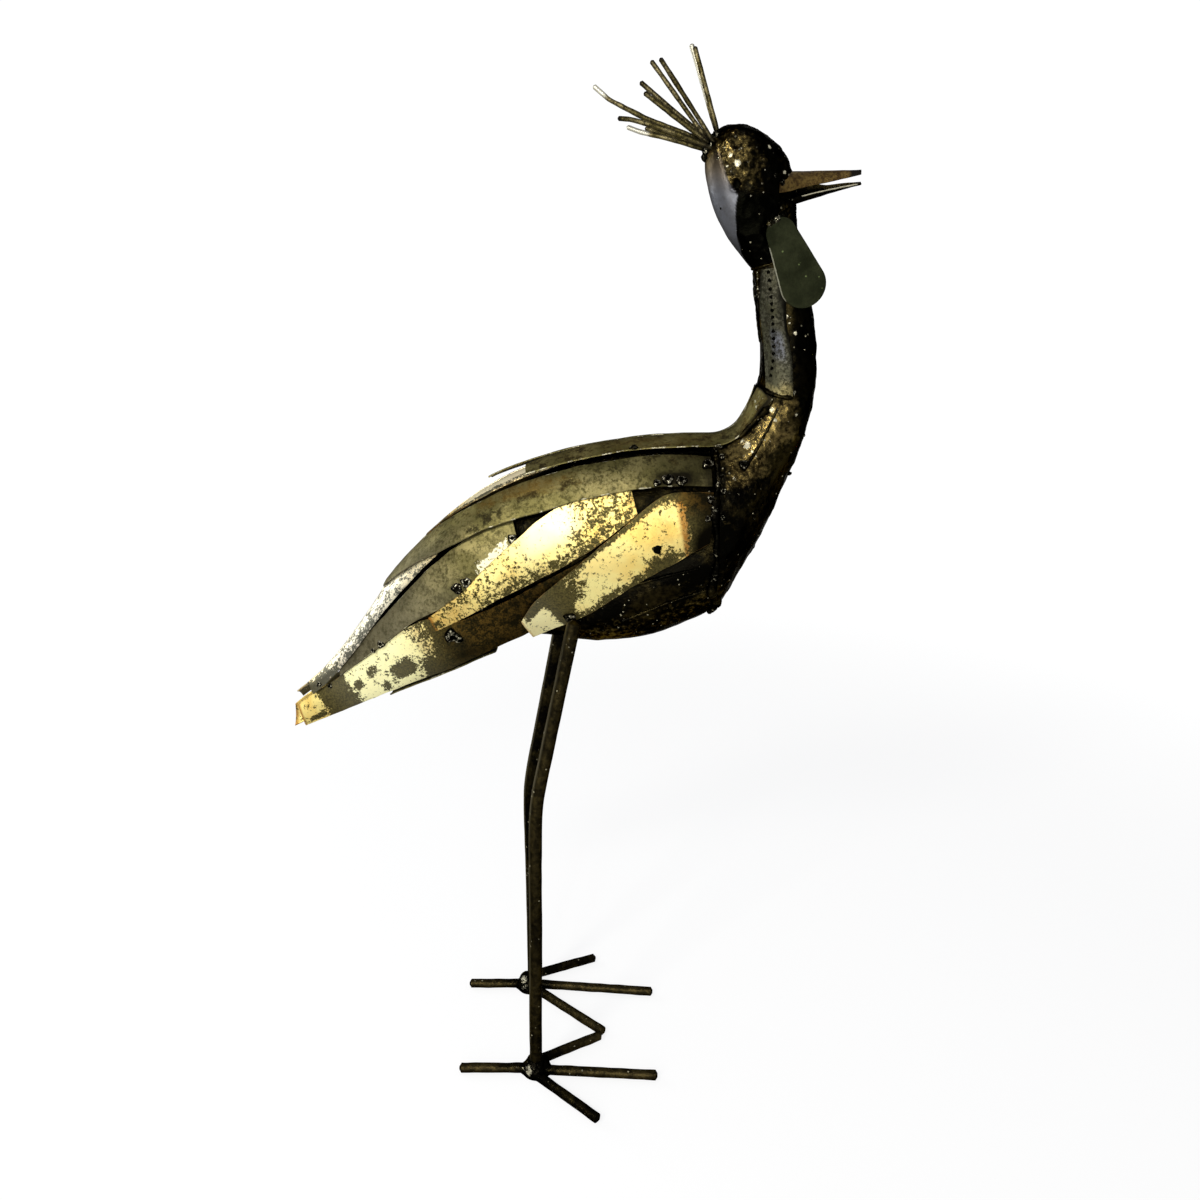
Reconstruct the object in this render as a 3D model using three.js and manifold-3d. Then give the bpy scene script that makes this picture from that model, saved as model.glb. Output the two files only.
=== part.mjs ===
// Welded sheet-metal crane standing on rod feet. Millimetres, +X to the beak, +Z up, right side at -Y.
import * as THREE from 'three';
import { mergeVertices } from 'three/addons/utils/BufferGeometryUtils.js';
import Module from 'manifold-3d';

const legDiameter = 10;
const toeDiameter = 8;
const crestWireDiameter = 2.8;
const featherThickness = 1.1;
const seamGap = 0.4;
const seamStation = 9;
const tailStation = 1.3;
const neckTopStation = 17;
const shellInset = 9.4;
const bellyInset = 1.9;

// Sections of the body from tail tip to neck top, each a ring through a ridge and a keel point
const bodySections = [
  { ridge: [-193, 313], keel: [-187, 284], halfWidth: 9, boxy: 0.6, narrow: 0 },
  { ridge: [-171, 332], keel: [-150, 301], halfWidth: 15, boxy: 0.6, narrow: 0 },
  { ridge: [-145, 363], keel: [-112, 319], halfWidth: 23, boxy: 0.6, narrow: 0 },
  { ridge: [-117.6, 403.4], keel: [-72, 335], halfWidth: 32, boxy: 0.5, narrow: 0 },
  { ridge: [-80.5, 441.2], keel: [-34, 349.5], halfWidth: 41, boxy: 0.3, narrow: 0.1 },
  { ridge: [-38, 471.8], keel: [2, 354], halfWidth: 47.5, boxy: 0, narrow: 0.3 },
  { ridge: [8, 490.5], keel: [36, 352], halfWidth: 51, boxy: 0, narrow: 0.3 },
  { ridge: [52, 499.5], keel: [68, 355.8], halfWidth: 52, boxy: 0, narrow: 0.3 },
  { ridge: [88, 502], keel: [94, 366.5], halfWidth: 50, boxy: 0, narrow: 0.25 },
  { ridge: [111, 502.5], keel: [114.3, 378], halfWidth: 46, boxy: 0, narrow: 0.2 },
  { ridge: [124, 508], keel: [129.8, 404.6], halfWidth: 40, boxy: 0, narrow: 0.15 },
  { ridge: [131, 518], keel: [144.8, 432.6], halfWidth: 33, boxy: 0, narrow: 0.1 },
  { ridge: [136, 530], keel: [157.2, 463.4], halfWidth: 27, boxy: 0, narrow: 0.05 },
  { ridge: [139, 543], keel: [169, 494], halfWidth: 22.5, boxy: 0, narrow: 0 },
  { ridge: [139.5, 560], keel: [176.5, 530], halfWidth: 19.5, boxy: 0, narrow: 0 },
  { ridge: [137, 578], keel: [175, 562], halfWidth: 18, boxy: 0, narrow: 0 },
  { ridge: [133.9, 594], keel: [170.5, 588], halfWidth: 17, boxy: 0, narrow: 0 },
  { ridge: [130.9, 609.5], keel: [162, 619.5], halfWidth: 15.5, boxy: 0, narrow: 0 },
];

// Sections of the head from the neck up to the crown, back point and front point
const headSections = [
  { ridge: [130.8, 609.9], keel: [161.9, 619.9], halfWidth: 15.5, boxy: 0, narrow: 0 },
  { ridge: [123, 618], keel: [160, 628], halfWidth: 16.5, boxy: 0, narrow: 0.15 },
  { ridge: [114, 629], keel: [158, 636], halfWidth: 18.5, boxy: 0, narrow: 0.3 },
  { ridge: [105, 645], keel: [157, 648], halfWidth: 20.5, boxy: 0, narrow: 0.42 },
  { ridge: [100, 661], keel: [155.5, 661], halfWidth: 21.5, boxy: 0, narrow: 0.45 },
  { ridge: [98.5, 674], keel: [150.5, 672], halfWidth: 20.5, boxy: 0, narrow: 0.38 },
  { ridge: [101, 683.5], keel: [142.5, 682], halfWidth: 17.5, boxy: 0, narrow: 0.25 },
  { ridge: [106, 689.5], keel: [133, 688.5], halfWidth: 12.5, boxy: 0, narrow: 0.1 },
  { ridge: [111.5, 692.8], keel: [124, 692.6], halfWidth: 6, boxy: 0, narrow: 0 },
];

// Feather strips. Each cut runs [station, angle] of the upper edge, [station, angle] of the lower edge,
// then how far the outer face lies under the body's outline there, with a second depth where the lower
// edge hangs freer than the upper one. Angles turn from ridge to keel.
const featherCuts = {
  back_feather: [
    [5.45, 1.3, 5.45, 19, -2], [6.2, 1.3, 6.2, 21.5, -2], [7.2, 1.3, 7.2, 21.5, -2],
    [8.4, 1.4, 8.4, 23, -2.5], [9.5, 1.6, 9.5, 24, -2.5], [10.4, 2, 10.4, 28, -2.5],
    [11.4, 4, 11.4, 37, -2.4], [12.4, 14, 12.85, 58, -2.2],
  ],
  rump_feather: [
    [3.78, 2, 3.8, 5, 0], [4.1, 2, 4.1, 6.5, 0], [4.5, 1.8, 4.5, 13, 0], [5.0, 1.6, 5.0, 17.5, 0],
    [5.9, 1.4, 5.9, 18, 0],
  ],
  upper_wing_feather: [
    [2.95, 3, 2.88, 13, -0.1], [3.4, 3, 3.34, 28, -0.1], [4.0, 9, 4.0, 42, 0], [4.7, 21.5, 4.6, 47, 0],
    [5.5, 25, 5.4, 51.5, 0], [6.6, 27, 6.5, 50.5, 0], [7.6, 27, 7.5, 50.5, 0], [8.72, 31, 8.72, 54, 0],
  ],
  middle_wing_feather: [
    [3.33, 84, 3.3, 98.5, 1.9], [3.95, 82, 3.85, 101, 1.9], [4.5, 73.5, 4.5, 98.5, 1.9],
    [5.0, 66, 5.1, 94.5, 1.9], [5.5, 56, 5.8, 85.5, 1.9], [6.2, 47, 6.4, 77, 1.9],
    [6.95, 47, 7.02, 64.5, 1.9],
  ],
  rear_wing_feather: [
    [1.4, 48, 1.33, 61, 2], [2.1, 44, 2.35, 73, 2], [2.9, 49, 3.2, 79.5, 2.8], [3.7, 45, 3.85, 87, 3.8],
    [4.4, 44, 4.4, 86, 3.8], [5.12, 48, 5.1, 63, 3.8],
  ],
  lower_wing_feather: [
    [0.03, 64, 0.04, 150, 2, 1], [0.6, 57, 0.6, 152, 3, 1], [1.3, 61, 1.2, 152, 3.9, 0.8],
    [2.3, 74, 2.1, 153, 4.4, 0.5], [3.2, 83, 3.1, 153, 5.6, 0.5], [3.7, 104, 3.8, 150, 5.7, 1.2],
    [4.5, 104.5, 4.5, 142, 5.7, 2.2], [5.2, 98, 5.3, 125, 5.7, 4], [6.1, 85, 6.1, 106, 5.7, 5.7],
  ],
  front_wing_feather: [
    [4.63, 122, 4.66, 144, 0], [5.0, 108.5, 5.26, 133, 0], [5.6, 95, 5.7, 124.5, 0],
    [6.37, 79, 6.4, 111.5, 0], [6.95, 67.5, 7.1, 101.5, 0], [7.55, 56.5, 7.8, 95.5, 0],
    [8.15, 56.5, 8.2, 92, 0], [8.76, 59, 8.64, 89, 0],
  ],
  tail_feather: [
    [0.55, 4, 0.6, 60, 0.2], [1.42, 3, 1.42, 51.5, 0.2], [2.15, 3, 2.15, 45.5, 0.4],
    [2.6, 3.5, 2.6, 43.5, 1.9], [3.1, 4.5, 3.1, 43, 1.9], [3.8, 7, 3.9, 40, 1.9],
  ],
};
// What differs on the left: three strips run further toward the tail
const leftCuts = {
  back_feather: [4.9, 1.3, 4.9, 17, -5.5],
  lower_wing_feather: [-0.4, 64, -0.45, 150, 2, 1],
  tail_feather: [0.02, 6, 0.05, 60, 0.2],
};
const underFeather = [
  [1.8, 162, 1.8, 198, -1.4], [2.5, 162, 2.5, 198, -0.8],
  [3.2, 162, 3.2, 198, 0], [3.8, 162, 3.8, 198, 0.4],
];
const neckPanel = [
  [12.85, 38, 13.5, 93, -1.9], [13.8, 24, 14.2, 86, -1.9], [14.9, 21, 15.1, 79, -1.9], [16, 30, 16, 84, -1.9],
  [16.85, 44, 16.75, 93, -1.9],
];

// Feet: hub places on the floor, then each toe's bearing in degrees from +X toward +Y, its reach
// from the hub, and how far it is welded to the left of the hub
const feet = {
  right: {
    hub: [-18.4, -47.2],
    knee: [-14.5, -37, 237.5],
    top: [14.9, -35.2, 378.6],
    toes: {
      front: [-3.6, 97.5, -2.4], outer: [-40.3, 71, -5.6],
      inner: [27.7, 58.5, 5.6], back: [180, 61.4, 1],
    },
  },
  left: {
    hub: [-29.9, 48.2],
    knee: [-24.6, 37, 212],
    top: [7.8, 35.1, 378.8],
    toes: { front: [-5.5, 110, -0.4], outer: [22.3, 67, 9], inner: [-40.3, 91, -1.7], back: [180, 54, 0.5] },
  },
};
const bodyMiddle = 5;
const toeStart = 13;
const legFoot = 13.4;
// Radius and height up the weld that joins the leg and the toes
const footWeldProfile = [[0, 0], [10.5, 0], [12.1, 3], [12.1, 6], [10.2, 9.5], [7, 12.4], [0, 13]];

// Crest wires from root to tip in x and z, with the sideways place of each end
const crestWires = [
  { run: [[106.1, 686], [89.6, 735]], y: [-2.2, -2.6] },
  { run: [[106, 686.5], [88, 737.5]], y: [2.2, 3.4] },
  { run: [[103.2, 681.6], [68.6, 727.6]], y: [-6.6, -9] },
  { run: [[102.4, 680.6], [63.8, 728.2]], y: [-0.2, 1.2] },
  { run: [[103.7, 682.4], [57.6, 718]], y: [5.8, 9] },
  { run: [[102, 681], [59.5, 709.8]], y: [-3.4, -6] },
  { run: [[102.1, 681.9], [85.6, 688.8], [60.7, 697.2], [38.5, 707.4], [29, 715]], y: [3.2, 2.8] },
  { run: [[102.9, 678.7], [81.8, 686.6], [66.4, 691.3], [51.2, 695], [43.6, 695.4]], y: [-6.4, -8] },
  { run: [[102.7, 678.1], [76.2, 685.3], [57.6, 689.1], [49.3, 691.9]], y: [0, 0.4] },
  { run: [[104.1, 678.8], [82.9, 685.8], [70.4, 689.2], [61, 692.3]], y: [6, 8] },
];

const wattle = {
  top: [144.8, 630.4], topRadius: 9, foot: [160.2, 600.1], footRadius: 14.1, thickness: 1.2,
  sideways: -17.8, lean: -2,
};
// Beak halves from base to tip: x, height of the mouth edge, height of the outer edge, half width
const upperBeak = [
  [143.5, 653.6, 667, 12.4], [150, 654.8, 667, 9.2], [160, 657.4, 667.1, 6.2], [180, 661.5, 667.5, 3.4],
  [195.8, 664.9, 667.8, 1.2],
];
const lowerBeak = [
  [149, 653.8, 645.7, 7.8], [160, 656.6, 649, 5.8], [172, 658.7, 652.5, 4.2], [184, 660.2, 656, 2.6],
  [196.4, 661, 659, 1.1],
];

const wasm = await Module();
wasm.setup();

const radians = (degrees) => degrees * Math.PI / 180;
const mix = (a, b, t) => a + (b - a) * t;
const smooth = (low, high, value) => {
  const t = Math.min(1, Math.max(0, (value - low) / (high - low)));
  return t * t * (3 - 2 * t);
};

// Smooth curve through rows of numbers at a fractional row number, run on straight before the first row
function through(rows, place) {
  const last = rows.length - 1;
  const index = Math.max(0, Math.min(Math.floor(place), last - 1));
  const f = Math.max(0, place - index);
  const beyond = Math.min(0, place);
  const [a, b, c, d] = [-1, 0, 1, 2].map((step) => rows[Math.max(0, Math.min(last, index + step))]);
  return b.map((_, k) => b[k] + 0.5 * (
    (c[k] - b[k]) * beyond
    + (c[k] - a[k]) * f
    + (2 * a[k] - 5 * b[k] + 4 * c[k] - d[k]) * f ** 2
    + (3 * b[k] - a[k] - 3 * c[k] + d[k]) * f ** 3
  ));
}

const asRows = (sections) => sections.map((s) => [...s.ridge, ...s.keel, s.halfWidth, s.boxy, s.narrow]);
const bodyRows = asRows(bodySections);
const headRows = asRows(headSections);

// Point on a section's ring at an angle from its ridge, moved outward by a standoff
function ringPoint(rows, station, angle, standoff = 0) {
  const [rx, rz, kx, kz, halfWidth, boxy, narrow] = through(rows, station);
  const half = Math.hypot(rx - kx, rz - kz) / 2;
  const cosine = Math.cos(radians(angle));
  const sine = Math.sin(radians(angle));
  const low = (1 - cosine) / 2;
  const wide = (1 - narrow * low) * Math.abs(sine) ** (1 - boxy * low) * Math.sign(sine);
  const reach = (half + standoff) * cosine / (2 * half);
  return new THREE.Vector3(
    (rx + kx) / 2 + (rx - kx) * reach,
    -(halfWidth + standoff) * wide,
    (rz + kz) / 2 + (rz - kz) * reach,
  );
}

function closedGeometry(points, faces) {
  let volume = 0;
  for (const [a, b, c] of faces) volume += points[a].dot(points[b].clone().cross(points[c]));
  const index = faces.flatMap(([a, b, c]) => (volume < 0 ? [a, c, b] : [a, b, c]));
  const geometry = new THREE.BufferGeometry();
  geometry.setAttribute('position', new THREE.Float32BufferAttribute(points.flatMap((p) => p.toArray()), 3));
  geometry.setIndex(index);
  geometry.computeVertexNormals();
  return geometry;
}

function solidOf(geometry) {
  const bare = new THREE.BufferGeometry().setAttribute('position', geometry.getAttribute('position').clone());
  if (geometry.getIndex()) bare.setIndex(geometry.getIndex().clone());
  const merged = mergeVertices(bare, 1e-3);
  return new wasm.Manifold(new wasm.Mesh({
    numProp: 3,
    vertProperties: merged.attributes.position.array,
    triVerts: new Uint32Array(merged.index.array),
  }));
}

// What is left of one closed geometry outside another
function cutAway(geometry, tool) {
  const { numProp, vertProperties, triVerts } = solidOf(geometry).subtract(solidOf(tool)).getMesh();
  const corners = Array.from(triVerts, (v) => new THREE.Vector3().fromArray(vertProperties, v * numProp));
  return new THREE.BufferGeometry().setFromPoints(corners);
}

// Closed skin over a row of equal rings, with a flat fan on each end
function loft(rings) {
  const around = rings[0].length;
  const points = rings.flat();
  const faces = [];
  for (let i = 0; i + 1 < rings.length; i += 1) {
    for (let j = 0; j < around; j += 1) {
      const a = i * around + j;
      const b = i * around + (j + 1) % around;
      faces.push([a, b, b + around], [a, b + around, a + around]);
    }
  }
  for (const [start, ring, flip] of [[0, rings[0], true], [points.length - around, rings.at(-1), false]]) {
    const centre = ring.reduce((sum, p) => sum.add(p), new THREE.Vector3()).divideScalar(around);
    const middle = points.push(centre) - 1;
    for (let j = 0; j < around; j += 1) {
      const pair = [start + j, start + (j + 1) % around];
      faces.push(flip ? [middle, pair[1], pair[0]] : [middle, pair[0], pair[1]]);
    }
  }
  return closedGeometry(points, faces);
}

// Closed plate between an outer and an inner grid of points
function plate(outer, inner) {
  const rows = outer.length;
  const columns = outer[0].length;
  const points = [...outer.flat(), ...inner.flat()];
  const shift = rows * columns;
  const at = (i, j) => i * columns + j;
  const faces = [];
  const quad = (a, b, c, d) => faces.push([a, b, c], [a, c, d]);
  for (let i = 0; i + 1 < rows; i += 1) {
    for (let j = 0; j + 1 < columns; j += 1) {
      quad(at(i, j), at(i + 1, j), at(i + 1, j + 1), at(i, j + 1));
      quad(shift + at(i, j), shift + at(i, j + 1), shift + at(i + 1, j + 1), shift + at(i + 1, j));
    }
    quad(at(i, 0), shift + at(i, 0), shift + at(i + 1, 0), at(i + 1, 0));
    const edge = [at(i, columns - 1), at(i + 1, columns - 1)];
    quad(...edge, shift + edge[1], shift + edge[0]);
  }
  for (let j = 0; j + 1 < columns; j += 1) {
    quad(at(0, j), at(0, j + 1), shift + at(0, j + 1), shift + at(0, j));
    quad(at(rows - 1, j), shift + at(rows - 1, j), shift + at(rows - 1, j + 1), at(rows - 1, j + 1));
  }
  return closedGeometry(points, faces);
}

function bodyLoft(rows, from, to, rings, around, inset) {
  const list = [];
  for (let i = 0; i <= rings; i += 1) {
    const station = mix(from, to, i / rings);
    list.push(Array.from({ length: around }, (_, j) => {
      const angle = 360 * j / around;
      return ringPoint(rows, station, angle, -inset(station, angle));
    }));
  }
  return loft(list);
}

// The shell sinks under the feathers and comes out to the belly below them
function bodyInset(station, angle) {
  const turn = Math.min(angle, 360 - angle);
  const edge = 90 + 56 * Math.max(0, Math.min(1.2, (8.6 - station) / 4)) ** 1.6;
  const bare = smooth(edge - 4, edge + 14, turn) * smooth(4.2, 5.4, station);
  return mix(shellInset, bellyInset, bare);
}

// A strip bent over the body, cut by cut, on the right side or mirrored to the left
function stripOver(cuts, mirrored, steps, across) {
  const grids = [[], []];
  for (let i = 0; i <= steps; i += 1) {
    const [upperStation, upperAngle, lowerStation, lowerAngle, depth, lowerDepth = depth] =
      through(cuts, (cuts.length - 1) * i / steps);
    grids.forEach((grid, face) => {
      grid.push(Array.from({ length: across + 1 }, (_, j) => {
        const t = j / across;
        const station = mix(upperStation, lowerStation, t);
        const angle = mix(upperAngle, lowerAngle, t);
        const standoff = -mix(depth, lowerDepth, t) - face * featherThickness;
        const point = ringPoint(bodyRows, station, angle, standoff);
        return mirrored ? point.multiply(new THREE.Vector3(1, -1, 1)) : point;
      }));
    });
  }
  return plate(...grids);
}

// Rod of regular section through a row of points, mitred at the bends, with one flat facing down
function rod(path, diameter, sides) {
  const radius = diameter / 2 / Math.cos(Math.PI / sides);
  const directions = path.slice(1).map((p, i) => p.clone().sub(path[i]).normalize());
  const along = directions[0];
  const upright = Math.abs(along.z) > 0.8 ? new THREE.Vector3(1, 0, 0) : new THREE.Vector3(0, 0, 1);
  const sideways = along.clone().cross(upright).normalize();
  const upward = sideways.clone().cross(along).normalize();
  let ring = Array.from({ length: sides }, (_, j) => {
    const turn = 2 * Math.PI * (j + 0.5) / sides - Math.PI / 2;
    return path[0].clone().addScaledVector(sideways, radius * Math.cos(turn))
      .addScaledVector(upward, radius * Math.sin(turn));
  });
  const rings = [ring];
  for (let i = 1; i < path.length; i += 1) {
    const before = directions[i - 1];
    const normal = i < directions.length ? before.clone().add(directions[i]).normalize() : before;
    ring = ring.map((p) => {
      const travel = path[i].clone().sub(p).dot(normal) / before.dot(normal);
      return p.clone().addScaledVector(before, travel);
    });
    rings.push(ring);
  }
  return loft(rings);
}

function toeRod(hub, [bearing, reach, offset]) {
  const heading = new THREE.Vector3(Math.cos(radians(bearing)), Math.sin(radians(bearing)), 0);
  const leftward = new THREE.Vector3(-heading.y, heading.x, 0);
  const start = new THREE.Vector3(hub[0], hub[1], toeDiameter / 2).addScaledVector(leftward, offset);
  return rod([toeStart, reach].map((along) => start.clone().addScaledVector(heading, along)), toeDiameter, 8);
}

// Low lump of weld with a flat underside
function footWeld([x, y]) {
  const geometry = new THREE.LatheGeometry(footWeldProfile.map(([r, h]) => new THREE.Vector2(r, h)), 16);
  return geometry.rotateX(Math.PI / 2).translate(x, y, 0);
}

function legRod({ hub, knee, top }) {
  const places = [[hub[0], hub[1], legFoot], knee, top];
  return rod(places.map((p) => new THREE.Vector3(...p)), legDiameter, 10);
}

// Tongue of sheet: two arcs joined by their common tangents
function wattlePlate(mirrored) {
  const { top, topRadius, foot, footRadius, thickness } = wattle;
  const length = Math.hypot(foot[0] - top[0], foot[1] - top[1]);
  const lean = Math.asin((footRadius - topRadius) / length);
  const shape = new THREE.Shape();
  shape.absarc(0, 0, topRadius, lean, Math.PI - lean, false);
  shape.absarc(0, -length, footRadius, Math.PI - lean, 2 * Math.PI + lean, false);
  shape.closePath();
  const geometry = new THREE.ExtrudeGeometry(shape, {
    depth: thickness, bevelEnabled: false, curveSegments: 12,
  });
  const swing = Math.atan2(foot[0] - top[0], top[1] - foot[1]);
  geometry.rotateZ(swing).rotateX(Math.PI / 2 + radians(wattle.lean));
  geometry.translate(top[0], wattle.sideways, top[1]);
  return mirrored ? mirror(geometry) : geometry;
}

function mirror(geometry) {
  geometry.scale(1, -1, 1);
  const index = geometry.getIndex();
  if (index) {
    for (let i = 0; i < index.count; i += 3) {
      const keep = index.getX(i);
      index.setX(i, index.getX(i + 1));
      index.setX(i + 1, keep);
    }
    return geometry;
  }
  const places = geometry.getAttribute('position');
  for (let i = 0; i < places.count; i += 3) {
    const first = new THREE.Vector3().fromBufferAttribute(places, i);
    const second = new THREE.Vector3().fromBufferAttribute(places, i + 1);
    places.setXYZ(i, second.x, second.y, second.z);
    places.setXYZ(i + 1, first.x, first.y, first.z);
  }
  geometry.computeVertexNormals();
  return geometry;
}

// Folded tapering beak half: rounded on the outer side, flat toward the mouth
function beakHalf(rows) {
  const rings = [];
  for (let i = 0; i <= 8; i += 1) {
    const [x, mouth, outer, halfWidth] = through(rows, (rows.length - 1) * i / 8);
    rings.push([[-1, 0], [1, 0], [0.88, 0.52], [0.44, 0.9], [0, 1], [-0.44, 0.9], [-0.88, 0.52]]
      .map(([across, up]) => new THREE.Vector3(x, across * halfWidth, mix(mouth, outer, up))));
  }
  return loft(rings);
}

function finish(colour, roughness, metalness) {
  return new THREE.MeshStandardMaterial({ color: colour, roughness, metalness });
}
const darkSteel = () => finish(0x1c1a14, 0.4, 0.8);
const oliveSteel = () => finish(0x5a5338, 0.38, 0.75);
const gildedSteel = () => finish(0xcfae66, 0.32, 0.8);
const featherFinish = {
  rump_feather: gildedSteel, middle_wing_feather: gildedSteel, lower_wing_feather: gildedSteel,
  front_wing_feather: gildedSteel, tail_feather: gildedSteel,
};

const crane = new THREE.Group();
crane.name = 'feathered_crowned_crane';
function add(name, geometry, material) {
  const mesh = new THREE.Mesh(geometry, material);
  mesh.name = name;
  crane.add(mesh);
}

add('body_shell', bodyLoft(bodyRows, tailStation, seamStation, 18, 24, bodyInset), darkSteel());
add('breast_and_neck', bodyLoft(bodyRows, seamStation + 0.02, neckTopStation, 20, 24, () => 0), darkSteel());
const headWith = (inset) => bodyLoft(headRows, 0, headRows.length - 1, 14, 20, () => inset);
add('head', headWith(0), darkSteel());
add('upper_beak', cutAway(beakHalf(upperBeak), headWith(-seamGap)), finish(0x8f7442, 0.4, 0.7));
add('lower_beak', cutAway(beakHalf(lowerBeak), headWith(-seamGap)), darkSteel());

for (const [side, mirrored] of [['right', false], ['left', true]]) {
  for (const [name, cuts] of Object.entries(featherCuts)) {
    const run = mirrored && leftCuts[name] ? [leftCuts[name], ...cuts.slice(1)] : cuts;
    add(`${side}_${name}`, stripOver(run, mirrored, 12, 3), (featherFinish[name] ?? oliveSteel)());
  }
  add(`${side}_neck_panel`, stripOver(neckPanel, mirrored, 8, 3), finish(0x3a3832, 0.5, 0.7));
  add(`${side}_wattle`, wattlePlate(mirrored), finish(0x2b2e20, 0.45, 0.6));
  const foot = feet[side];
  add(`${side}_leg`, legRod(foot), darkSteel());
  add(`${side}_foot_weld`, footWeld(foot.hub), darkSteel());
  for (const [toe, run] of Object.entries(foot.toes)) {
    add(`${side}_${toe}_toe`, toeRod(foot.hub, run), darkSteel());
  }
}
add('under_feather', stripOver(underFeather, false, 5, 4), oliveSteel());

crestWires.forEach(({ run, y }, i) => {
  const places = run.map(([x, z], k) => new THREE.Vector3(x, mix(...y, k / (run.length - 1)), z));
  const wire = rod(places, crestWireDiameter, 6);
  const name = `crest_wire_${String(i + 1).padStart(2, '0')}`;
  add(name, cutAway(wire, headWith(-seamGap)), finish(0x4a4326, 0.5, 0.7));
});

// The body's middle plane stands a little to the left, so that the feet straddle the origin
crane.position.y = bodyMiddle;

export default crane;
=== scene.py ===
# Crane welded from hammered sheet, bar and wire. Sizes are in millimetres until a mesh is made.
import math
import bpy
import numpy as np
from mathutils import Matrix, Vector


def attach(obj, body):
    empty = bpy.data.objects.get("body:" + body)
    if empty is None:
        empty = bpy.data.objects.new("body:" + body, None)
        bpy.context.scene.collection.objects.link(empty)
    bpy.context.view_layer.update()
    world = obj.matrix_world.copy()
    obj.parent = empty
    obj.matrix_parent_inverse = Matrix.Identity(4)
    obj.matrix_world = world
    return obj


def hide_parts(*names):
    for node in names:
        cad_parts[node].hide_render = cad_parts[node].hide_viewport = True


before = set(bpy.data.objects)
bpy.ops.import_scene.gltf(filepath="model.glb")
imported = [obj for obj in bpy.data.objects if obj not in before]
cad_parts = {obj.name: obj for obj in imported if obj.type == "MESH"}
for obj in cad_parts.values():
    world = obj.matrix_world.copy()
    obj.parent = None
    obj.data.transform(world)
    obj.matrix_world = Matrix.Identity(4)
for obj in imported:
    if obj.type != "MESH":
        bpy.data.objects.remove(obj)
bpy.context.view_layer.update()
scene = bpy.context.scene
mm = 0.001

print("camera, floor and lights")
view = {"place": (33, -642, 607), "lookDown": 19, "lens": 28.5, "sensor": 36}
studio = {
    "skyAround": (0.13, 0.135, 0.15, 1), "skyAbove": (0.42, 0.43, 0.46, 1), "white": (1.04, 1.04, 1.04, 1),
    "floorHalf": 30, "floorNear": 0.5, "floorFar": 1.5, "floorLit": 0.8,
    "floorTone": (0.93, 0.93, 0.93, 1), "floorMirrored": (0.45, 0.45, 0.45, 1),
}
lamps = {
    "front": {"place": (-500, -1700, 560), "size": 1900, "power": 27, "tint": (1, 0.99, 0.95)},
    "key": {"place": (-800, -1000, 1300), "size": 260, "power": 11, "tint": (1, 0.97, 0.9)},
    "glint": {"place": (-250, -1300, 1000), "size": 90, "power": 1.6, "tint": (1, 0.99, 0.96)},
    "back": {"place": (-1200, 700, 700), "size": 700, "power": 7, "tint": (0.92, 0.96, 1)},
}
target = np.array([0, 0, 380])
sharpEdge = 48  # degrees between faces
weldPitch = 3.2


def addObject(name, data):
    item = bpy.data.objects.new(name, data)
    scene.collection.objects.link(item)
    return item


def addCamera():
    data = bpy.data.cameras.new("camera")
    data.lens = view["lens"]
    data.sensor_width = view["sensor"]
    data.clip_start = 0.01
    scene.camera = addObject("camera", data)
    scene.camera.location = np.array(view["place"]) * mm
    scene.camera.rotation_euler = (math.radians(90 - view["lookDown"]), 0, 0)


def addLamp(name, lamp):
    data = bpy.data.lights.new(name, "AREA")
    data.size = lamp["size"] * mm
    data.energy = lamp["power"]
    data.color = lamp["tint"]
    item = addObject(name, data)
    item.location = np.array(lamp["place"]) * mm
    away = item.location - Vector(target * mm)
    item.rotation_euler = away.to_track_quat("Z", "Y").to_euler()


class Wire:  # one shader value; sums and products with it add Math nodes
    def __init__(self, sheet, socket):
        self.sheet, self.socket = sheet, socket

    def __add__(self, other):
        return self.sheet.maths("ADD", self, other)

    def __sub__(self, other):
        return self.sheet.maths("SUBTRACT", self, other)

    def __rsub__(self, other):
        return self.sheet.maths("SUBTRACT", other, self)

    def __mul__(self, other):
        return self.sheet.maths("MULTIPLY", self, other)

    __radd__ = __add__
    __rmul__ = __mul__


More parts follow.
